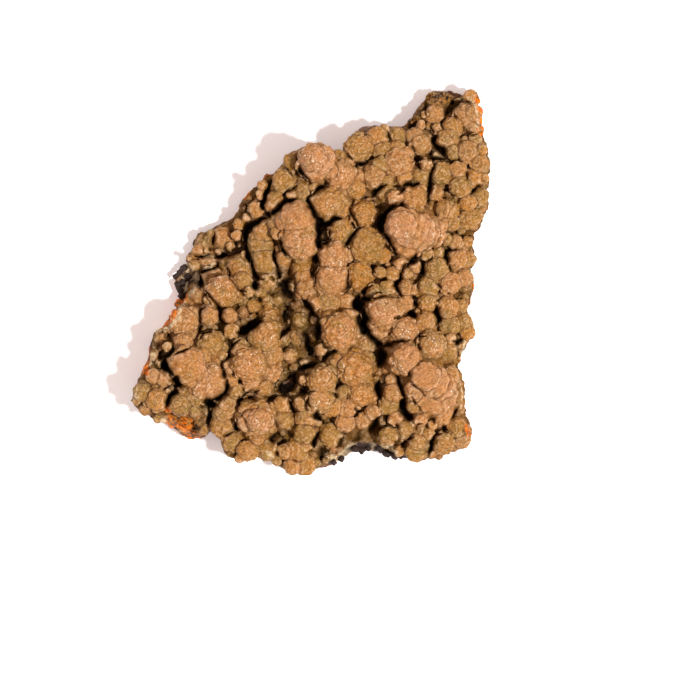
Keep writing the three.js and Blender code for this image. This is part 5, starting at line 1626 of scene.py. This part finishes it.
@dataclass(frozen=True)
class RockFinish:
    """The broken, iron-stained rock."""

    rust: tuple = (0.20, 0.085, 0.030)
    umber: tuple = (0.07, 0.035, 0.018)
    orange: tuple = (0.66, 0.16, 0.008)
    black: tuple = (0.026, 0.014, 0.010)
    cream: tuple = (0.58, 0.42, 0.25)

    def material(self) -> bpy.types.Material:
        """Build the material."""
        bench = NodeBench("iron_rock")
        colour = bench.mix(bench.patches(3.0, 0.35, 0.65, 4), self.umber, self.rust)
        fine = bench.patches(0.5, 0.38, 0.62, 5, 0.7)
        stained = bench.patches(0.9, 0.42, 0.56, 4, 0.7)
        colour = bench.cover(colour, self.orange, bench.value("orange"), stained)
        colour = bench.cover(colour, self.cream, bench.value("cream"))
        colour = bench.cover(colour, self.black, bench.value("black"))
        colour = bench.mix(0.5, colour, bench.mix(fine, (0.5,) * 3, (1.5,) * 3), "MULTIPLY")
        # Painted shade: the rock darkened towards black in its grooves.
        colour = bench.cover(colour, self.black, bench.value("groove"), 0.7)
        bench.feed(bench.shader.inputs["Base Color"], colour)
        bench.feed(bench.shader.inputs["Roughness"], bench.mix(fine, (0.45,) * 3, (0.9,) * 3))
        bench.shader.inputs["Specular IOR Level"].default_value = 0.2
        bench.bump(bench.noise(0.2, 4, 0.7), 0.08, 0.9)
        return bench.material


@dataclass(frozen=True)
class FloorFinish:
    """A plain white surface, lit a little from below."""

    white: tuple = (0.9, 0.9, 0.9)
    glow: tuple = (0.24, 0.205, 0.205)

    def material(self) -> bpy.types.Material:
        """Build the material."""
        bench = NodeBench("studio_white")
        bench.feed(bench.shader.inputs["Base Color"], self.white)
        bench.shader.inputs["Roughness"].default_value = 0.9
        bench.shader.inputs["Specular IOR Level"].default_value = 0.1
        bench.shader.inputs["Emission Color"].default_value = (*self.glow, 1)
        bench.shader.inputs["Emission Strength"].default_value = 1
        return bench.material


@dataclass
class Studio:
    """The floor, the light and the camera, in millimetres."""

    floor_side: float = 4000
    floor_gap: float = 0.05
    frame_width: float = 113.4
    aim: tuple = (6.4, -11.1)
    camera_height: float = 1800
    sensor: float = 36
    sun_height: float = 63
    sun_bearing: float = -20
    sun_power: float = 4.7
    sun_spread: float = 5
    fill: float = 0.78
    fill_tone: tuple = (1, 0.87, 0.83)

    def build(self) -> None:
        """Make the floor, the lights and the camera."""
        clear_selection()
        bpy.ops.mesh.primitive_plane_add(size=self.floor_side * MM, location=(0, 0, -self.floor_gap * MM))
        floor = bpy.context.view_layer.objects.active
        bpy.ops.object.transform_apply(location=True)
        floor.name = "studio_floor"
        floor.data.materials.append(FloorFinish().material())
        sun = bpy.data.lights.new("key", "SUN")
        sun.energy = self.sun_power
        sun.angle = math.radians(self.sun_spread)
        key = bpy.data.objects.new("key", sun)
        height, bearing = math.radians(self.sun_height), math.radians(self.sun_bearing)
        towards = Vector((
            math.cos(bearing) * math.cos(height), math.sin(bearing) * math.cos(height), math.sin(height)
        ))
        key.rotation_euler = towards.to_track_quat("Z", "Y").to_euler()
        bpy.context.scene.collection.objects.link(key)
        world = bpy.data.worlds.new("fill")
        world.use_nodes = True
        background = world.node_tree.nodes["Background"]
        background.inputs["Color"].default_value = (*self.fill_tone, 1)
        background.inputs["Strength"].default_value = self.fill
        bpy.context.scene.world = world
        data = bpy.data.cameras.new("camera")
        data.sensor_width = self.sensor
        data.lens = self.sensor * self.camera_height / self.frame_width
        data.clip_start, data.clip_end = 0.01, 20
        camera = bpy.data.objects.new("camera", data)
        camera.location = (self.aim[0] * MM, self.aim[1] * MM, self.camera_height * MM)
        bpy.context.scene.collection.objects.link(camera)
        bpy.context.scene.camera = camera
        bpy.context.scene.view_settings.view_transform = "Standard"


def main() -> None:
    """Build the rock, the crust and the studio, and report each piece."""
    logging.basicConfig(level=logging.INFO, format="%(name)s: %(message)s")
    Studio().build()
    pieces = Rock().build(RockFinish())
    pieces += Crust().build(CrustFinish())
    for piece in pieces:
        log.info("%s has %d faces", piece.name, len(piece.data.polygons))


if __name__ == "__main__":
    main()
